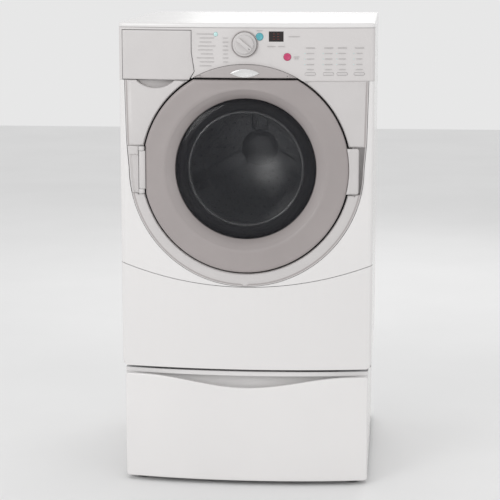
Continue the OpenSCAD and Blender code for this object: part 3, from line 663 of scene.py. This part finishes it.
def make_surround():
    """The light grey surround: a lower crescent and two upper corners, rolled at the outside, with a darker
    strip on the outer roll as painted shade.
    """
    profile = [(0.0, -0.001), (0.0004, 0.0002), (0.0022, 0.0014), (0.005, 0.0027), (0.0085, 0.0038),
               (0.0125, 0.0045), (0.0165, FACE), (0.019, FACE)]
    low_outer = degrees(asin((HINGE_LOW - DOOR_Z) / FACIA_R))
    low_inner = opening_angle(HINGE_LOW)
    crescent = arc((0, DOOR_Z), FACIA_R, 180 - low_outer, 360 + low_outer, 150)
    crescent += arc((0, DOOR_Z), OPENING_R, 360 + low_inner, 180 - low_inner, 150)
    loops = [crescent]
    top, kink = FACIA_TOP - 0.0004, HINGE_HIGH + KINK_RISE
    for side in (-1, 1):
        corner = [(side * facia_x(HINGE_HIGH), HINGE_HIGH), (side * facia_x(kink), kink),
                  (side * facia_x(top), top)]
        if side < 0:
            corner += [(x, min(z, top)) for x, z in arc((-0.243, 1.1735), 0.0775, 227.3, 312.7, 24)]
        inner = arc((0, DOOR_Z), OPENING_R, opening_angle(top), opening_angle(HINGE_HIGH), 40)
        corner += [(side * x, z) for x, z in inner]
        loops.append(corner)
    meshes = [plate_mesh([loop], profile, width=edge_width) for loop in loops]
    add_piece("door_surround", meshes, "grey_facia", "cabinet")
    # A darker strip over the outer roll of the surround: painted shade for the shading of its rounded outer
    # edge.
    rim = bmesh.new()
    for loop in loops:
        if signed_area(loop) < 0:
            loop = loop[::-1]
        sides = list(zip(loop, loop[1:] + loop[:1]))
        shares = [edge_width((a[0] + b[0]) / 2, (a[1] + b[1]) / 2) for a, b in sides]
        rings = []
        for inset, height in ((-0.0001, -0.001), (0.0003, 0.0004), (0.0022, 0.0016), (0.005, 0.0029),
                              (0.0068, 0.00345),
                              (0.0072, 0.003)):
            points = inset_loop(loop, [inset * share for share in shares])
            rings.append([rim.verts.new(on_front(u, v, height)) for u, v in points])
        for low, high in zip(rings, rings[1:]):
            for i, share in enumerate(shares):
                if share == WIDE:
                    k = (i + 1) % len(loop)
                    rim.faces.new((low[i], low[k], high[k], high[i]))
    bmesh.ops.delete(rim, geom=[vertex for vertex in rim.verts if not vertex.link_faces], context="VERTS")
    bmesh.ops.recalc_face_normals(rim, faces=rim.faces)
    add_piece("surround_painted_shade_strip", to_mesh(rim), "crown_grey", "cabinet")


def make_hinge_cover():
    """Hollowed cover beside the hinge with a lip along its top and its outer edge."""
    outline = [(-0.2905, HINGE_LOW + 0.001), (-0.2905, HINGE_HIGH - 0.001)]
    outline += [(-facia_x(z) + 0.0008, z) for z in
                [HINGE_HIGH - 0.001 - (HINGE_HIGH - HINGE_LOW - 0.002) * i / 16 for i in range(17)]]
    rim = plate_mesh([outline], [(0.0, -0.002), (0.0, 0.0022), (0.0006, 0.004), (0.002, 0.005),
                                        (0.0042, 0.0044), (0.0075, 0.0016), (0.0105, 0.0006),
                                        (0.0125, 0.0006)],
                     width=lambda u, v: 1.0 if u < -0.3 or v > HINGE_HIGH - 0.002 else 0.25)
    lip = [(-0.2912, HINGE_HIGH - 0.0245), (-0.2912, HINGE_HIGH - 0.0022),
           (-facia_x(HINGE_HIGH) + 0.003, HINGE_HIGH - 0.0022),
           (-facia_x(HINGE_HIGH - 0.024) + 0.003, HINGE_HIGH - 0.0245)]
    step = plate_mesh([lip], roll(0.0026, 0.0062, 0.0))
    add_piece("hinge_shroud", [rim, step], "grey_facia", "cabinet", ["hinge_cover"])


def make_hinge_arm():
    """Barrel fairing on the door and the plate that ties it to the door's inner frame."""
    low, high = limits("hinge_arm")
    axis_x, axis_y, radius = low.x + 0.0075, low.y + 0.0075, 0.0073
    rows = []
    for z, shrink in ((low.z, 0.0016), (low.z + 0.0006, 0.0006), (low.z + 0.0018, 0.0),
                      (high.z - 0.0018, 0.0),
                      (high.z - 0.0006, 0.0006), (high.z, 0.0016)):
        r = radius - shrink
        row = [(axis_x + r * cos(radians(a)), axis_y + r * sin(radians(a)), z)
               for a in range(270, 89, -12)]
        row += [(-0.279, -0.3445 - shrink, z), (-0.2708, -0.343 - shrink, z),
                (-0.2708, -0.3655 + shrink, z),
                (-0.2745, -0.3672 + shrink, z)]
        rows.append(row)
    mesh = loft_mesh(rows, close_columns=True, caps=True)
    plate = rounded_box((-0.2712, -0.3446, DOOR_Z - 0.0355), (high.x, low.y + 0.0275, DOOR_Z + 0.0385),
                        0.0008, 2)
    add_piece("hinge_fairing", [mesh, plate], "grey_facia", "door", ["hinge_arm"])
    caps = []
    for bottom, top in ((HINGE_LOW + 0.0008, low.z - 0.0004), (high.z + 0.0004, HINGE_HIGH - 0.0008)):
        profile = [(0.0, bottom), (0.0068, bottom), (0.0079, bottom + 0.0011), (0.0079, top - 0.0011),
                   (0.0068, top),
                   (0.0, top)]
        rows = [[(axis_x + r * cos(tau * k / 48), axis_y + r * sin(tau * k / 48), z)
                 for r, z in profile] for k in range(48)]
        caps.append(loft_mesh(rows, close_rows=True))
    add_piece("hinge_caps", caps, "grey_facia", "cabinet")


def make_handle():
    """Pull at the door's right edge: crowned front, rolled free edge, hollow back."""
    low, high = limits("door_handle")
    rows = []
    count = 28
    for i in range(count + 1):
        z = low.z + (high.z - low.z) * i / count
        inner = sqrt((DOOR_R + 0.0003) ** 2 - (z - DOOR_Z) ** 2)
        end = min(z - low.z, high.z - z)
        shrink = 0.003 * (1 - min(end / 0.004, 1.0)) ** 2
        front, back = DOOR_PROUD - shrink, 0.0052 + shrink * 0.5
        outer = high.x - 0.0004 - shrink
        row = [(inner, bow(inner, back), z), (inner, bow(inner, front), z)]
        for k in range(1, 5):
            x = inner + (outer - 0.0055 - inner) * k / 4
            row.append((x, bow(x, front - 0.001 * sin(pi * k / 4)), z))
        for k in range(1, 9):
            tilt = radians(180 * k / 8)
            half = (front - back) / 2
            x = outer - 0.0055 + 0.0055 * sin(tilt)
            row.append((x, bow(x, back + half + half * cos(tilt)), z))
        rows.append(row)
    mesh = loft_mesh(rows, close_columns=True, caps=True)
    add_piece("pull_handle", mesh, "grey_facia", "door", ["door_handle"])


# ---- crown, display and dispenser front


def make_crown():
    """Crown above the door: a segment with a rolled edge, and a plain bright lens on it."""
    low, high = limits("crown_trim")
    half, rise = high.x, high.z - low.z
    radius = (half**2 + rise**2) / (2 * rise)
    centre = high.z - radius
    spread_angle = degrees(asin(half / radius))
    outline = arc((0, centre), radius, 90 - spread_angle, 90 + spread_angle, 64)
    mesh = plate_mesh([outline], roll(0.0035, 0.0088, -0.002, 6),
                      width=lambda u, v: 1.0 if abs(u) < half - 0.012 else 0.3)
    add_piece("crown_cap", mesh, "crown_grey", "cabinet", ["crown_trim"])
    low, high = limits("crown_plate")
    middle_z, half, tall = (low.z + high.z) / 2, high.x, (high.z - low.z) / 2
    radius = (half**2 + tall**2) / (2 * tall)
    angle = degrees(asin(half / radius))
    lens = arc((0, middle_z + tall - radius), radius, 90 - angle, 90 + angle, 32)
    lens += arc((0, middle_z - tall + radius), radius, 270 - angle, 270 + angle, 32)[1:-1]
    mesh = plate_mesh([lens], [(0.0, 0.0085), (0.0, 0.01), (0.0005, 0.011), (0.0014, 0.0114),
                                       (0.003, 0.0118), (0.0042, 0.0119)],
                      width=lambda u, v: 1.0 if abs(u) < half - 0.004 else 0.4)
    add_piece("crown_lens", mesh, "bright_plate", "cabinet", ["crown_plate"])


def make_display():
    """Dark window with a bevelled bezel and dim generic segments behind it."""
    low, high = limits("display_window")
    outline = rounded_rectangle((low.x, low.z), (high.x, high.z), 0.0025, 4)
    face = plate_mesh([outline], [(0.0, -0.0045), (0.0, -0.0006), (0.0004, 0.0), (0.0012, 0.0003),
                                           (0.0022, 0.0003)])
    add_piece("display_glass", face, "display_dark", "cabinet", ["display_window"])
    bars = []
    for column in range(2):
        u = low.x + 0.0135 + 0.011 * column
        for row in range(3):
            v = low.z + 0.0065 + 0.0068 * row
            bars.append(plate_mesh([rounded_rectangle((u - 0.0028, v - 0.0007), (u + 0.0028, v + 0.0007),
                                                      0.0006, 3)],
                                   [(0.0, 0.0), (0.0, 0.00035), (0.0002, 0.0005)]))
    add_piece("display_segments", bars, "display_glow", "cabinet")


def tray_points(grow=0.0):
    left, right, low, high = -0.333, -0.144, CONSOLE_LOW, CONSOLE_HIGH + 0.0005
    return [(left - grow, low + 0.001 - grow), (-0.15 + grow, low + 0.001 - grow),
            (right + 0.008 + grow, low + 0.024),
            (right + grow, low + 0.075), (right + grow, high - 0.007 + grow),
            (left - grow, high - 0.007 + grow)]


def make_dispenser_front():
    """Front of the dispenser drawer with a soft rolled edge."""
    mesh = plate_mesh([tray_points(-0.0007)],
                      [(0.0, -0.001), (0.0, 0.0004), (0.0005, 0.0013), (0.0016, 0.0019), (0.0032, 0.0021),
                       (0.005, 0.0021)])
    add_piece("dispenser_front", mesh, "grey_facia", "detergent_drawer")


def make_marks():
    """Faint generic dashes that stand for the printed labels, and small indicator dots."""
    dashes, dots = [], []

    def dash(u, v, length, thick=0.0016):
        dashes.append(plate_mesh([rounded_rectangle((u - length / 2, v - thick / 2),
                                                            (u + length / 2, v + thick / 2), thick * 0.45,
                                                            3)],
                                 [(0.0, 0.001), (0.0, 0.00165), (0.0002, 0.0017)]))

    for index in range(9):
        dash(-0.106 + 0.004 * (index % 2), 1.2405 - 0.0105 * index, 0.046 - 0.007 * (index % 3))
        if index not in (0, 8):
            dash(-0.052, 1.2405 - 0.0105 * index, 0.016 - 0.003 * (index % 2))
    for u in (0.173, 0.221, 0.257, 0.302):
        for v in (1.19, 1.1755, 1.161):
            dash(u, v, 0.02 if u != 0.302 else 0.016)
            dots.append(turned_mesh([(0.0, 0.0), (0.0011, 0.0), (0.0011, -0.0004), (0.0, -0.0006)], 0, 0,
                                    12))
            dots[-1].transform(Matrix.Translation((u - 0.0145, bow(u - 0.0145, 0.0014), v)))
        dash(u, 1.2045, 0.024, 0.0022)
        dash(u, 1.1475, 0.018)
    for u, v, length in ((0.07, 1.2085, 0.022), (0.096, 1.2085, 0.018), (0.13, 1.2345, 0.03),
                         (0.0385, 1.25, 0.016),
                         (0.136, 1.181, 0.016), (0.136, 1.1765, 0.011)):
        dash(u, v, length)
    add_piece("label_dashes", dashes, "label_print", "cabinet")
    add_piece("indicator_dots", dots, "indicator", "cabinet")
    x, z, r, front, back = round_key("status_light")
    lens = [(0.0, back), (r, back), (r, front + 0.0022), (r * 0.92, front + 0.001),
            (r * 0.7, front + 0.0003),
            (0.0, front + 0.0001)]
    add_piece("status_lens", turned_mesh(lens, x, z, 40), "indicator", "cabinet", ["status_light"])


make_surround()
make_hinge_cover()
make_hinge_arm()
make_handle()
make_crown()
make_display()
make_dispenser_front()
make_marks()


# ---- door opening, gasket and drum


def make_gap_shade_ring():
    """Black lip at the bottom of the gap between the door and its surround: painted shade, standing for the
    shadow in the gap.
    """
    rows = []
    for step in range(360):
        angle = tau * step / 360
        row = []
        for grow, y in ((0.0052, -0.34), (0.0052, -0.344), (0.0036, -0.3448), (0.0012, -0.3436),
                        (0.0006, -0.3412),
                        (0.002, -0.34)):
            reach = DOOR_R + grow
            if sin(angle) > 0:
                reach = min(reach, (DOOR_FLAT + grow) / sin(angle))
            row.append(around(reach, y, angle))
        rows.append(row)
    mesh = loft_mesh(rows, close_rows=True, close_columns=True)
    # The black ring is painted shade for the shadow deep in the gap.
    add_piece("gap_shade_ring", mesh, "black_rubber", "cabinet")


def make_gasket():
    """Folded rubber bellows between the door opening and the tub."""
    low, high = limits("door_gasket")
    front, back, outer = low.y, high.y, high.x
    inner = outer - 0.018
    outside = [(outer, front + 0.0005), (outer, front + 0.006), (outer - 0.004, front + 0.009),
               (outer - 0.006, front + 0.014), (outer - 0.002, front + 0.018),
               (outer - 0.001, front + 0.024),
               (outer - 0.006, front + 0.029), (outer - 0.004, back - 0.006), (outer - 0.006, back)]
    inside = [(inner + 0.003, back - 0.001), (inner, back - 0.006), (inner + 0.003, front + 0.031),
              (inner + 0.006, front + 0.025), (inner + 0.004, front + 0.019),
              (inner - 0.0002, front + 0.015),
              (inner - 0.0006, front + 0.009), (inner + 0.004, front + 0.005),
              (outer - 0.008, front + 0.003),
              (outer - 0.004, front)]
    mesh = turned_mesh(outside + inside + [outside[0]], 0, DOOR_Z, 160)
    add_piece("gasket_bellows", mesh, "gasket_rubber", "cabinet", ["door_gasket"])
    band = turned_mesh(arc((outer - 0.001, front + 0.0035), 0.0016, 0, 360, 12), 0, DOOR_Z, 160)
    add_piece("gasket_band", band, "zinc_steel", "cabinet")


LIFTER_ANGLES = (90, 210, 330)
STAR_GAPS = (-30, 90, 210)


def nearest(angle, spots):
    """Degrees from an angle in radians to the nearest of some spots in degrees."""
    return min(abs((degrees(angle) - spot + 180) % 360 - 180) for spot in spots)


def drum_profile(radius, front, back):
    """Wall of the drum with its rolled mouth, pressed beads and dished back."""
    mouth = 0.17
    outside = [(mouth, front + 0.01), (mouth - 0.0015, front + 0.004), (mouth + 0.001, front + 0.0008),
               (mouth + 0.008, front), (radius - 0.018, front + 0.0012), (radius - 0.006, front + 0.006),
               (radius - 0.0012, front + 0.015)]
    for y in (front + 0.07, (front + back) / 2, back - 0.08):
        outside += [(radius - 0.001, y - 0.012), (radius, y - 0.006), (radius, y + 0.006),
                    (radius - 0.001, y + 0.012)]
    outside += [(radius - 0.001, back - 0.014), (radius - 0.006, back - 0.004),
                (radius - 0.016, back - 0.0004),
                (0.15, back - 0.0004), (0.06, back - 0.002), (0.0, back - 0.002)]
    inside = [(max(r - 0.0016, 0.0), y - (0.0016 if y > back - 0.01 else -0.0012)) for r,
              y in outside[::-1]]
    return outside + inside[:-1] + [outside[0]]


def make_drum():
    """Stainless drum with a star pressing and a hub, and the rows of holes in its wall and back as black
    discs: painted shade for the dark seen through the holes.
    """
    low, high = limits("drum")
    radius, front, back = high.x, low.y, high.y
    shell = turned_mesh(drum_profile(radius, front, back), 0, DOOR_Z, 192)
    stars = []
    for arm in range(3):
        star = rounded_box((0.052, back - 0.009, DOOR_Z - 0.024),
                           (radius - 0.04, back - 0.0036, DOOR_Z + 0.024),
                           0.0045, 4)
        stars.append(turned_about(star, 30 + 120 * arm, "Y", (0, 0, DOOR_Z)))
    hub = turned_mesh([(0.0, back - 0.013), (0.034, back - 0.013), (0.044, back - 0.011),
                              (0.052, back - 0.005), (0.054, back - 0.003), (0.0, back - 0.003)], 0,
                              DOOR_Z, 96)
    add_piece("drum_shell", [shell, hub] + stars, "stainless", "drum_assembly", ["drum"])
    # Black discs stand for the wall's holes: painted shade for the dark seen through them.
    holes = []
    for ring in range(14):
        y = front + 0.04 + 0.0255 * ring
        for k in range(72):
            angle = tau * (k + 0.5 * (ring % 2)) / 72
            if nearest(angle, LIFTER_ANGLES) < 11:
                continue
            holes.append((radius - 0.003, y, angle, 0.0021))
    add_piece("drum_wall_hole_shade", wall_discs(holes), "black_plastic", "drum_assembly")
    # Black discs stand for the back's holes: painted shade for the dark seen through them.
    spots = []
    for ring in range(7):
        r = 0.08 + 0.0245 * ring
        count = 18 + 6 * ring
        for k in range(count):
            angle = tau * k / count
            if nearest(angle, STAR_GAPS) < degrees(0.03 / r):
                continue
            disc = turned_mesh([(0.0, back - 0.004), (0.0026, back - 0.004), (0.0026, back - 0.0034)],
                               r * cos(angle), DOOR_Z + r * sin(angle), 10)
            spots.append(disc)
    add_piece("drum_back_hole_shade", spots, "black_plastic", "drum_assembly")


def wall_discs(holes):
    """Small black discs just inside the drum's wall: painted shade standing for its holes."""
    points, faces = [], []
    for radius, y, angle, size in holes:
        start = len(points)
        for k in range(8):
            turn = tau * k / 8
            a = angle + size * cos(turn) / radius
            points.append(around(radius, y + size * sin(turn), a))
        faces.append(tuple(range(start, start + 8)))
    mesh = bpy.data.meshes.new("discs")
    mesh.from_pydata(points, [], faces)
    return mesh


def make_lifters():
    """Three lifters: tapered, crowned and rounded at their ends."""
    low, high = limits("drum")
    radius, front, back = high.x, low.y, high.y
    bodies = []
    for spot in LIFTER_ANGLES:
        rows = []
        for share, scale in ((0.0, 0.4), (0.02, 0.72), (0.06, 0.92), (0.12, 1.0), (0.5, 1.04), (0.88, 1.0),
                             (0.94, 0.92),
                             (0.98, 0.72), (1.0, 0.4)):
            y = front + 0.045 + (back - front - 0.08) * share
            row = []
            for k in range(17):
                t = -1 + 2 * k / 16
                bump = cos(t * pi / 2) ** 0.8 if abs(t) < 1 else 0.0
                reach = radius - 0.0026 - 0.058 * scale * bump
                a = radians(spot) + t * 0.036 * (0.7 + 0.3 * scale) / radius
                row.append(around(reach, y, a))
            rows.append(row)
        bodies.append(loft_mesh(rows))
    add_piece("drum_lifters", bodies, "tub_plastic", "drum_assembly")


make_gap_shade_ring()
make_gasket()
make_drum()
make_lifters()


# ---- pedestal, top, sides and back


def make_storage_drawer():
    """Drawer: bowed front with a rolled scoop, return edges, a folded steel box and its runners."""
    low, high = limits("pedestal_drawer")
    half, bottom, top = high.x, low.z, high.z
    reach, drop = 0.29, 0.03

    def lip(x):
        return top - (drop * (0.5 + 0.5 * cos(pi * x / reach)) if abs(x) < reach else 0.0)

    outline = rounded_rectangle((-half, bottom), (half, top), 0.009, 5)
    outline = [point for point in outline if point[1] < top - 0.01]
    right = [point for point in outline if point[0] > 0]
    left = [point for point in outline if point[0] < 0]
    crest = arc((half - 0.009, top - 0.009), 0.009, 0, 90, 5)
    crest += [(x, lip(x)) for x in [half - 0.012 - (2 * half - 0.024) * i / 120 for i in range(121)]]
    crest += arc((0.009 - half, top - 0.009), 0.009, 90, 180, 5)
    face = plate_mesh([sorted(left, key=lambda p: -p[1]) + sorted(right, key=lambda p: p[1]) + crest],
                      [(0.0032, -0.0075), (0.0012, -0.0068), (0.0, -0.005), (0.0, -0.004),
                       (0.0004, -0.0024),
                       (0.0013, -0.0011), (0.0027, -0.0003), (0.0045, 0.0), (0.0062, 0.0)])
    inside = [(-half + 0.0045, bottom + 0.0045), (half - 0.0045, bottom + 0.0045)]
    inside += [(x, lip(x) - 0.0045) for x in [(half - 0.0045) * (1 - i / 60) for i in range(121)]]
    skin = plate_mesh([inside], [(0.0, -0.006), (0.0, -0.0055), (0.002, -0.0055)])
    back = rounded_box((-half + 0.001, -0.33, bottom + 0.001), (half - 0.001, -0.328, top + 0.0008),
                       0.0006, 2)
    parts = [face, skin, back]
    for side in (-1, 1):
        x = side * (half - 0.0022)
        parts.append(rounded_box((min(x, x - side * 0.0015), bow(half, -0.004), bottom + 0.003),
                                 (max(x, x - side * 0.0015), -0.329, top - 0.003), 0.0004, 1))
    parts.append(rounded_box((-half + 0.003, bow(half, -0.004), bottom + 0.0005),
                             (half - 0.003, -0.329, bottom + 0.002), 0.0004, 1))
    add_piece("storage_front", parts, "white_enamel", "storage_drawer",
                 ["pedestal_drawer"])
    walls = []
    front, rear, wall_top, floor_z, wide = -0.328, high.y, 0.262, 0.04, 0.3
    walls.append(rounded_box((-wide, front, floor_z), (wide, rear, floor_z + 0.002), 0.0006, 1))
    for x in (-wide, wide - 0.002):
        walls.append(rounded_box((x, front, floor_z), (x + 0.002, rear, wall_top), 0.0006, 1))
    walls.append(rounded_box((-wide, rear - 0.002, floor_z), (wide, rear, wall_top), 0.0006, 1))
    for x in (-wide, wide - 0.007):
        walls.append(rounded_box((x, front, wall_top - 0.003), (x + 0.007, rear, wall_top + 0.0015),
                                 0.0015, 3))
    walls.append(rounded_box((-wide, rear - 0.007, wall_top - 0.003), (wide, rear, wall_top + 0.0015),
                             0.0015, 3))
    for k in range(5):
        x = -0.22 + 0.11 * k
        walls.append(rounded_box((x - 0.006, front + 0.05, floor_z + 0.0008),
                                 (x + 0.006, rear - 0.05, floor_z + 0.0036),
                                 0.0013, 3))
    add_piece("storage_box", walls, "white_enamel", "storage_drawer")
    runners = []
    for side in (-1, 1):
        x0, x1 = sorted((side * 0.3005, side * 0.318))
        runners.append(rounded_box((x0, front, 0.1365), (x1, 0.33, 0.1635), 0.002, 3))
        for k in range(4):
            y = front + 0.06 + 0.17 * k
            runners.append(rounded_box((x0, y, 0.135), (x1, y + 0.012, 0.165), 0.0008, 1))
    add_piece("storage_runners", runners, "zinc_steel", "storage_drawer")


def make_top():
    """Worktop: bowed front, rolled edge all round and a small return underneath."""
    low, high = limits("top_panel")
    half, base, top, back = high.x, low.z, high.z, high.y
    count = 60
    outline = [(half * (2 * i / count - 1), bow(half * (2 * i / count - 1))) for i in range(count + 1)]
    outline = [(x, y) for x, y in outline if abs(x) < half - 0.01]
    outline = arc((-half + CORNER_R, CORNER_Y), CORNER_R, 180, 245, 6) + outline
    outline += arc((half - CORNER_R, CORNER_Y), CORNER_R, 295, 360, 6)
    outline += arc((half - 0.011, back - 0.011), 0.011, 0, 90, 6)
    outline += arc((-half + 0.011, back - 0.011), 0.011, 90, 180, 6)
    roll_r = 0.006
    profile = [(0.004, base), (0.001, base + 0.0002), (0.0, base + 0.0012), (0.0, top - roll_r)]
    profile += [(roll_r * (1 - cos(radians(15 * i))), top - roll_r * (1 - sin(radians(15 * i))))
                for i in range(1, 7)]
    profile += [(roll_r + 0.0015, top), (roll_r + 0.0035, top)]
    mesh = plate_mesh([outline], profile, place=lambda u, v, h: (u, v, h), step=0.2)
    add_piece("worktop", mesh, "white_enamel", "cabinet", ["top_panel"])


def make_side(name, side):
    """Side panel with a pressed groove round its middle and folded flanges."""
    low, high = limits(name)
    half = max(abs(low.x), abs(high.x))
    front, back, base, top = low.y, high.y, low.z, high.z

    def place(u, v, h):
        return side * (half + h), u, v

    outline = [(front, base), (back, base), (back, top), (front, top)]
    loops = [rounded_rectangle((front + 0.07, base + 0.08), (back - 0.07, top - 0.085), 0.03, 6)]
    frame_part = plate_mesh([outline] + loops, [(0.0, -0.002), (0.0, -0.0004), (0.0004, 0.0), (0.004, 0.0)],
                            place=place, step=0.5, plain_holes=True)
    rings = [(0.0, 0.0), (0.001, -0.0003), (0.003, -0.0013), (0.006, -0.0017), (0.009, -0.0013),
             (0.011, -0.0003),
             (0.012, 0.0), (0.015, 0.0)]
    centre = plate_mesh(loops, rings, place=place, step=0.5)
    parts = [frame_part, centre]
    for y in (front, back - 0.002):
        x0, x1 = sorted((side * (half - 0.0005), side * (half - (0.009 if y == front else 0.02))))
        parts.append(rounded_box((x0, y, base + 0.001), (x1, y + 0.002, top - 0.001), 0.0005, 1))
    x0, x1 = sorted((side * (half - 0.0019), side * (half - 0.0032)))
    parts.append(rounded_box((x0, front + 0.001, base + 0.001), (x1, back - 0.001, top - 0.001), 0.0004, 1))
    add_piece(name + "_pressing", parts, "white_enamel", "cabinet", [name])


def screw(x, y, z, facing=1, radius=0.0042):
    """Pan-head screw seen from the back (facing 1) or from the front (facing -1)."""
    profile = [(0.0, 0.0017), (radius * 0.28, 0.0017), (radius * 0.36, 0.0009), (radius * 0.46, 0.002),
               (radius * 0.8, 0.0014), (radius, 0.0004), (radius, -0.0006), (0.0, -0.0006)]
    return turned_mesh([(r, y + facing * h) for r, h in profile], x, z, 16)


def make_back():
    """Pressed beads, vents and screws on the rear panel and its service cover; the vents are black slots of
    painted shade.
    """
    low, high = limits("rear_panel")
    face = high.y
    beads = []
    for z in (0.395, 0.43, 0.465, 0.5, 0.535, 1.105, 1.14):
        for x0, x1 in ((-0.3, -0.03), (0.03, 0.11)) if z > 0.3 and z < 0.6 else ((-0.14, 0.14),):
            beads.append(rounded_box((x0, face - 0.001, z - 0.005), (x1, face + 0.0022, z + 0.005), 0.0016,
                                     3))
    for side in (-1, 1):
        beads.append(rounded_box((side * 0.265 - 0.006, face - 0.001, 0.62),
                                 (side * 0.265 + 0.006, face + 0.0022, 1.06),
                                 0.0016, 3))
    add_piece("rear_beads", beads, "zinc_steel", "cabinet")
    heads = []
    for side in (-1, 1):
        heads += [screw(side * 0.328, face, 0.345 + 0.128 * k) for k in range(8)]
    heads += [screw(-0.24 + 0.12 * k, face, 0.3435) for k in range(5) if k != 4]
    heads += [screw(-0.28 + 0.14 * k, face, 1.2475) for k in range(5)]
    cover_low, cover_high = limits("rear_service_cover")
    centre = (cover_low.z + cover_high.z) / 2
    reach = cover_high.x - 0.008
    for k in range(8):
        angle = radians(22.5 + 45 * k)
        heads.append(screw(reach * cos(angle), cover_high.y - 0.0088, centre + reach * sin(angle)))
    add_piece("rear_screws", heads, "stainless", "cabinet")
    # Black slots stand for the vent openings: painted shade for the dark inside them.
    slots = []
    for k in range(9):
        z = 1.165 + 0.008 * k
        for x in (0.045, 0.12):
            slots.append(rounded_box((x - 0.026, face - 0.0008, z - 0.0016),
                                     (x + 0.026, face + 0.0007, z + 0.0016),
                                     0.0006, 2))
    add_piece("rear_vent_shade", slots, "black_plastic", "cabinet")
    ridges = []
    low, high = limits("inlet_valves")
    for x in (low.x + 0.013, high.x - 0.013):
        for k in range(4):
            y = high.y - 0.011 + 0.003 * k
            ridges.append(turned_mesh([(0.0118, y - 0.001), (0.0129, y - 0.0002), (0.0129, y + 0.0002),
                                                (0.0118, y + 0.001)], x, (low.z + high.z) / 2, 48))
    add_piece("inlet_threads", ridges, "valve_blue", "cabinet")


def make_feet():
    """Levelling feet: threaded stems, hexagon nuts and rubber pads."""
    low, high = limits("levelling_feet")
    pads, nuts = [], []
    for x in (low.x + 0.024, high.x - 0.024):
        for y in (low.y + 0.024, high.y - 0.024):
            pad = turned_mesh([(0.0, 0.0), (0.0225, 0.0), (0.024, 0.001), (0.024, 0.0045), (0.0225, 0.006),
                                      (0.016, 0.0078), (0.0, 0.008)], 0, 0, 48)
            pad.transform(Matrix.Translation((x, y, 0)) @ Matrix.Rotation(radians(90), 4, "X"))
            pads.append(pad)
            profile = [(0.0, 0.0075), (0.0048, 0.0075)]
            for k in range(20):
                profile += [(0.0048, 0.008 + 0.0016 * k), (0.0041, 0.0088 + 0.0016 * k)]
            profile += [(0.0, 0.0398)]
            stem = turned_mesh(profile, 0, 0, 24)
            hexagon = turned_mesh([(0.005, 0.0082), (0.0098, 0.0082), (0.0104, 0.009), (0.0104, 0.0116),
                                          (0.0098, 0.0119), (0.005, 0.0119)], 0, 0, 6)
            for part in (stem, hexagon):
                part.transform(Matrix.Translation((x, y, 0)) @ Matrix.Rotation(radians(90), 4, "X"))
                nuts.append(part)
    add_piece("feet_pads", pads, "black_rubber", "cabinet", ["levelling_feet"])
    add_piece("feet_stems", nuts, "zinc_steel", "cabinet")


make_storage_drawer()
make_top()
make_side("side_panel_left", -1)
make_side("side_panel_right", 1)
make_back()
make_feet()


# ---- stage, camera, lights


def aimed(thing, target):
    thing.rotation_euler = (Vector(target) - thing.location).to_track_quat("-Z", "Y").to_euler()


def area_light(name, place, target, size, power):
    data = bpy.data.lights.new(name, "AREA")
    data.size = size
    data.energy = power
    light = bpy.data.objects.new(name, data)
    light.location = place
    aimed(light, target)
    bpy.context.scene.collection.objects.link(light)


def make_camera():
    """Camera at the photograph's angle: a little above and to the right of the front."""
    data = bpy.data.cameras.new("camera")
    data.lens = 125
    data.sensor_width = 36
    camera = bpy.data.objects.new("camera", data)
    camera.location = (0.4, FRONT_Y - 4.6, 1.48)
    aimed(camera, (-0.013, -0.06, 0.606))
    bpy.context.scene.collection.objects.link(camera)
    bpy.context.scene.camera = camera


def make_floor():
    """Plain pale floor."""
    mesh = bpy.data.meshes.new("floor")
    mesh.from_pydata([(-9, -9, 0), (9, -9, 0), (9, 9, 0), (-9, 9, 0)], [], [(0, 1, 2, 3)])
    ground = bpy.data.objects.new("floor", mesh)
    material, tree, bsdf = shader("floor_matt")
    tinted = blend(tree, spread(tree, noise(tree, 1.5, 4), 0, 1), (0.8, 0.8, 0.8), (0.83, 0.83, 0.83))
    tree.links.new(tinted, bsdf.inputs["Base Color"])
    bsdf.inputs["Roughness"].default_value = 0.8
    mesh.materials.append(material)
    bpy.context.scene.collection.objects.link(ground)


def make_world():
    """Even white light from all round."""
    world = bpy.data.worlds.new("studio")
    world.use_nodes = True
    background = world.node_tree.nodes["Background"]
    background.inputs["Color"].default_value = (1.0, 1.0, 1.0, 1)
    background.inputs["Strength"].default_value = 0.8
    bpy.context.scene.world = world


make_camera()
make_floor()
make_world()
area_light("key", (-2.4, -4.0, 2.4), (0, 0, 0.8), 2.0, 50)
area_light("fill", (3.2, -2.6, 2.0), (0, 0, 0.7), 3.0, 12)
area_light("back", (0.5, 3.0, 2.8), (0, 0, 0.8), 2.5, 25)
area_light("glint", (-0.17, -3.82, 0.43), (0.07, -0.36, 0.88), 0.12, 0.45)
bpy.context.scene.view_settings.view_transform = "Standard"
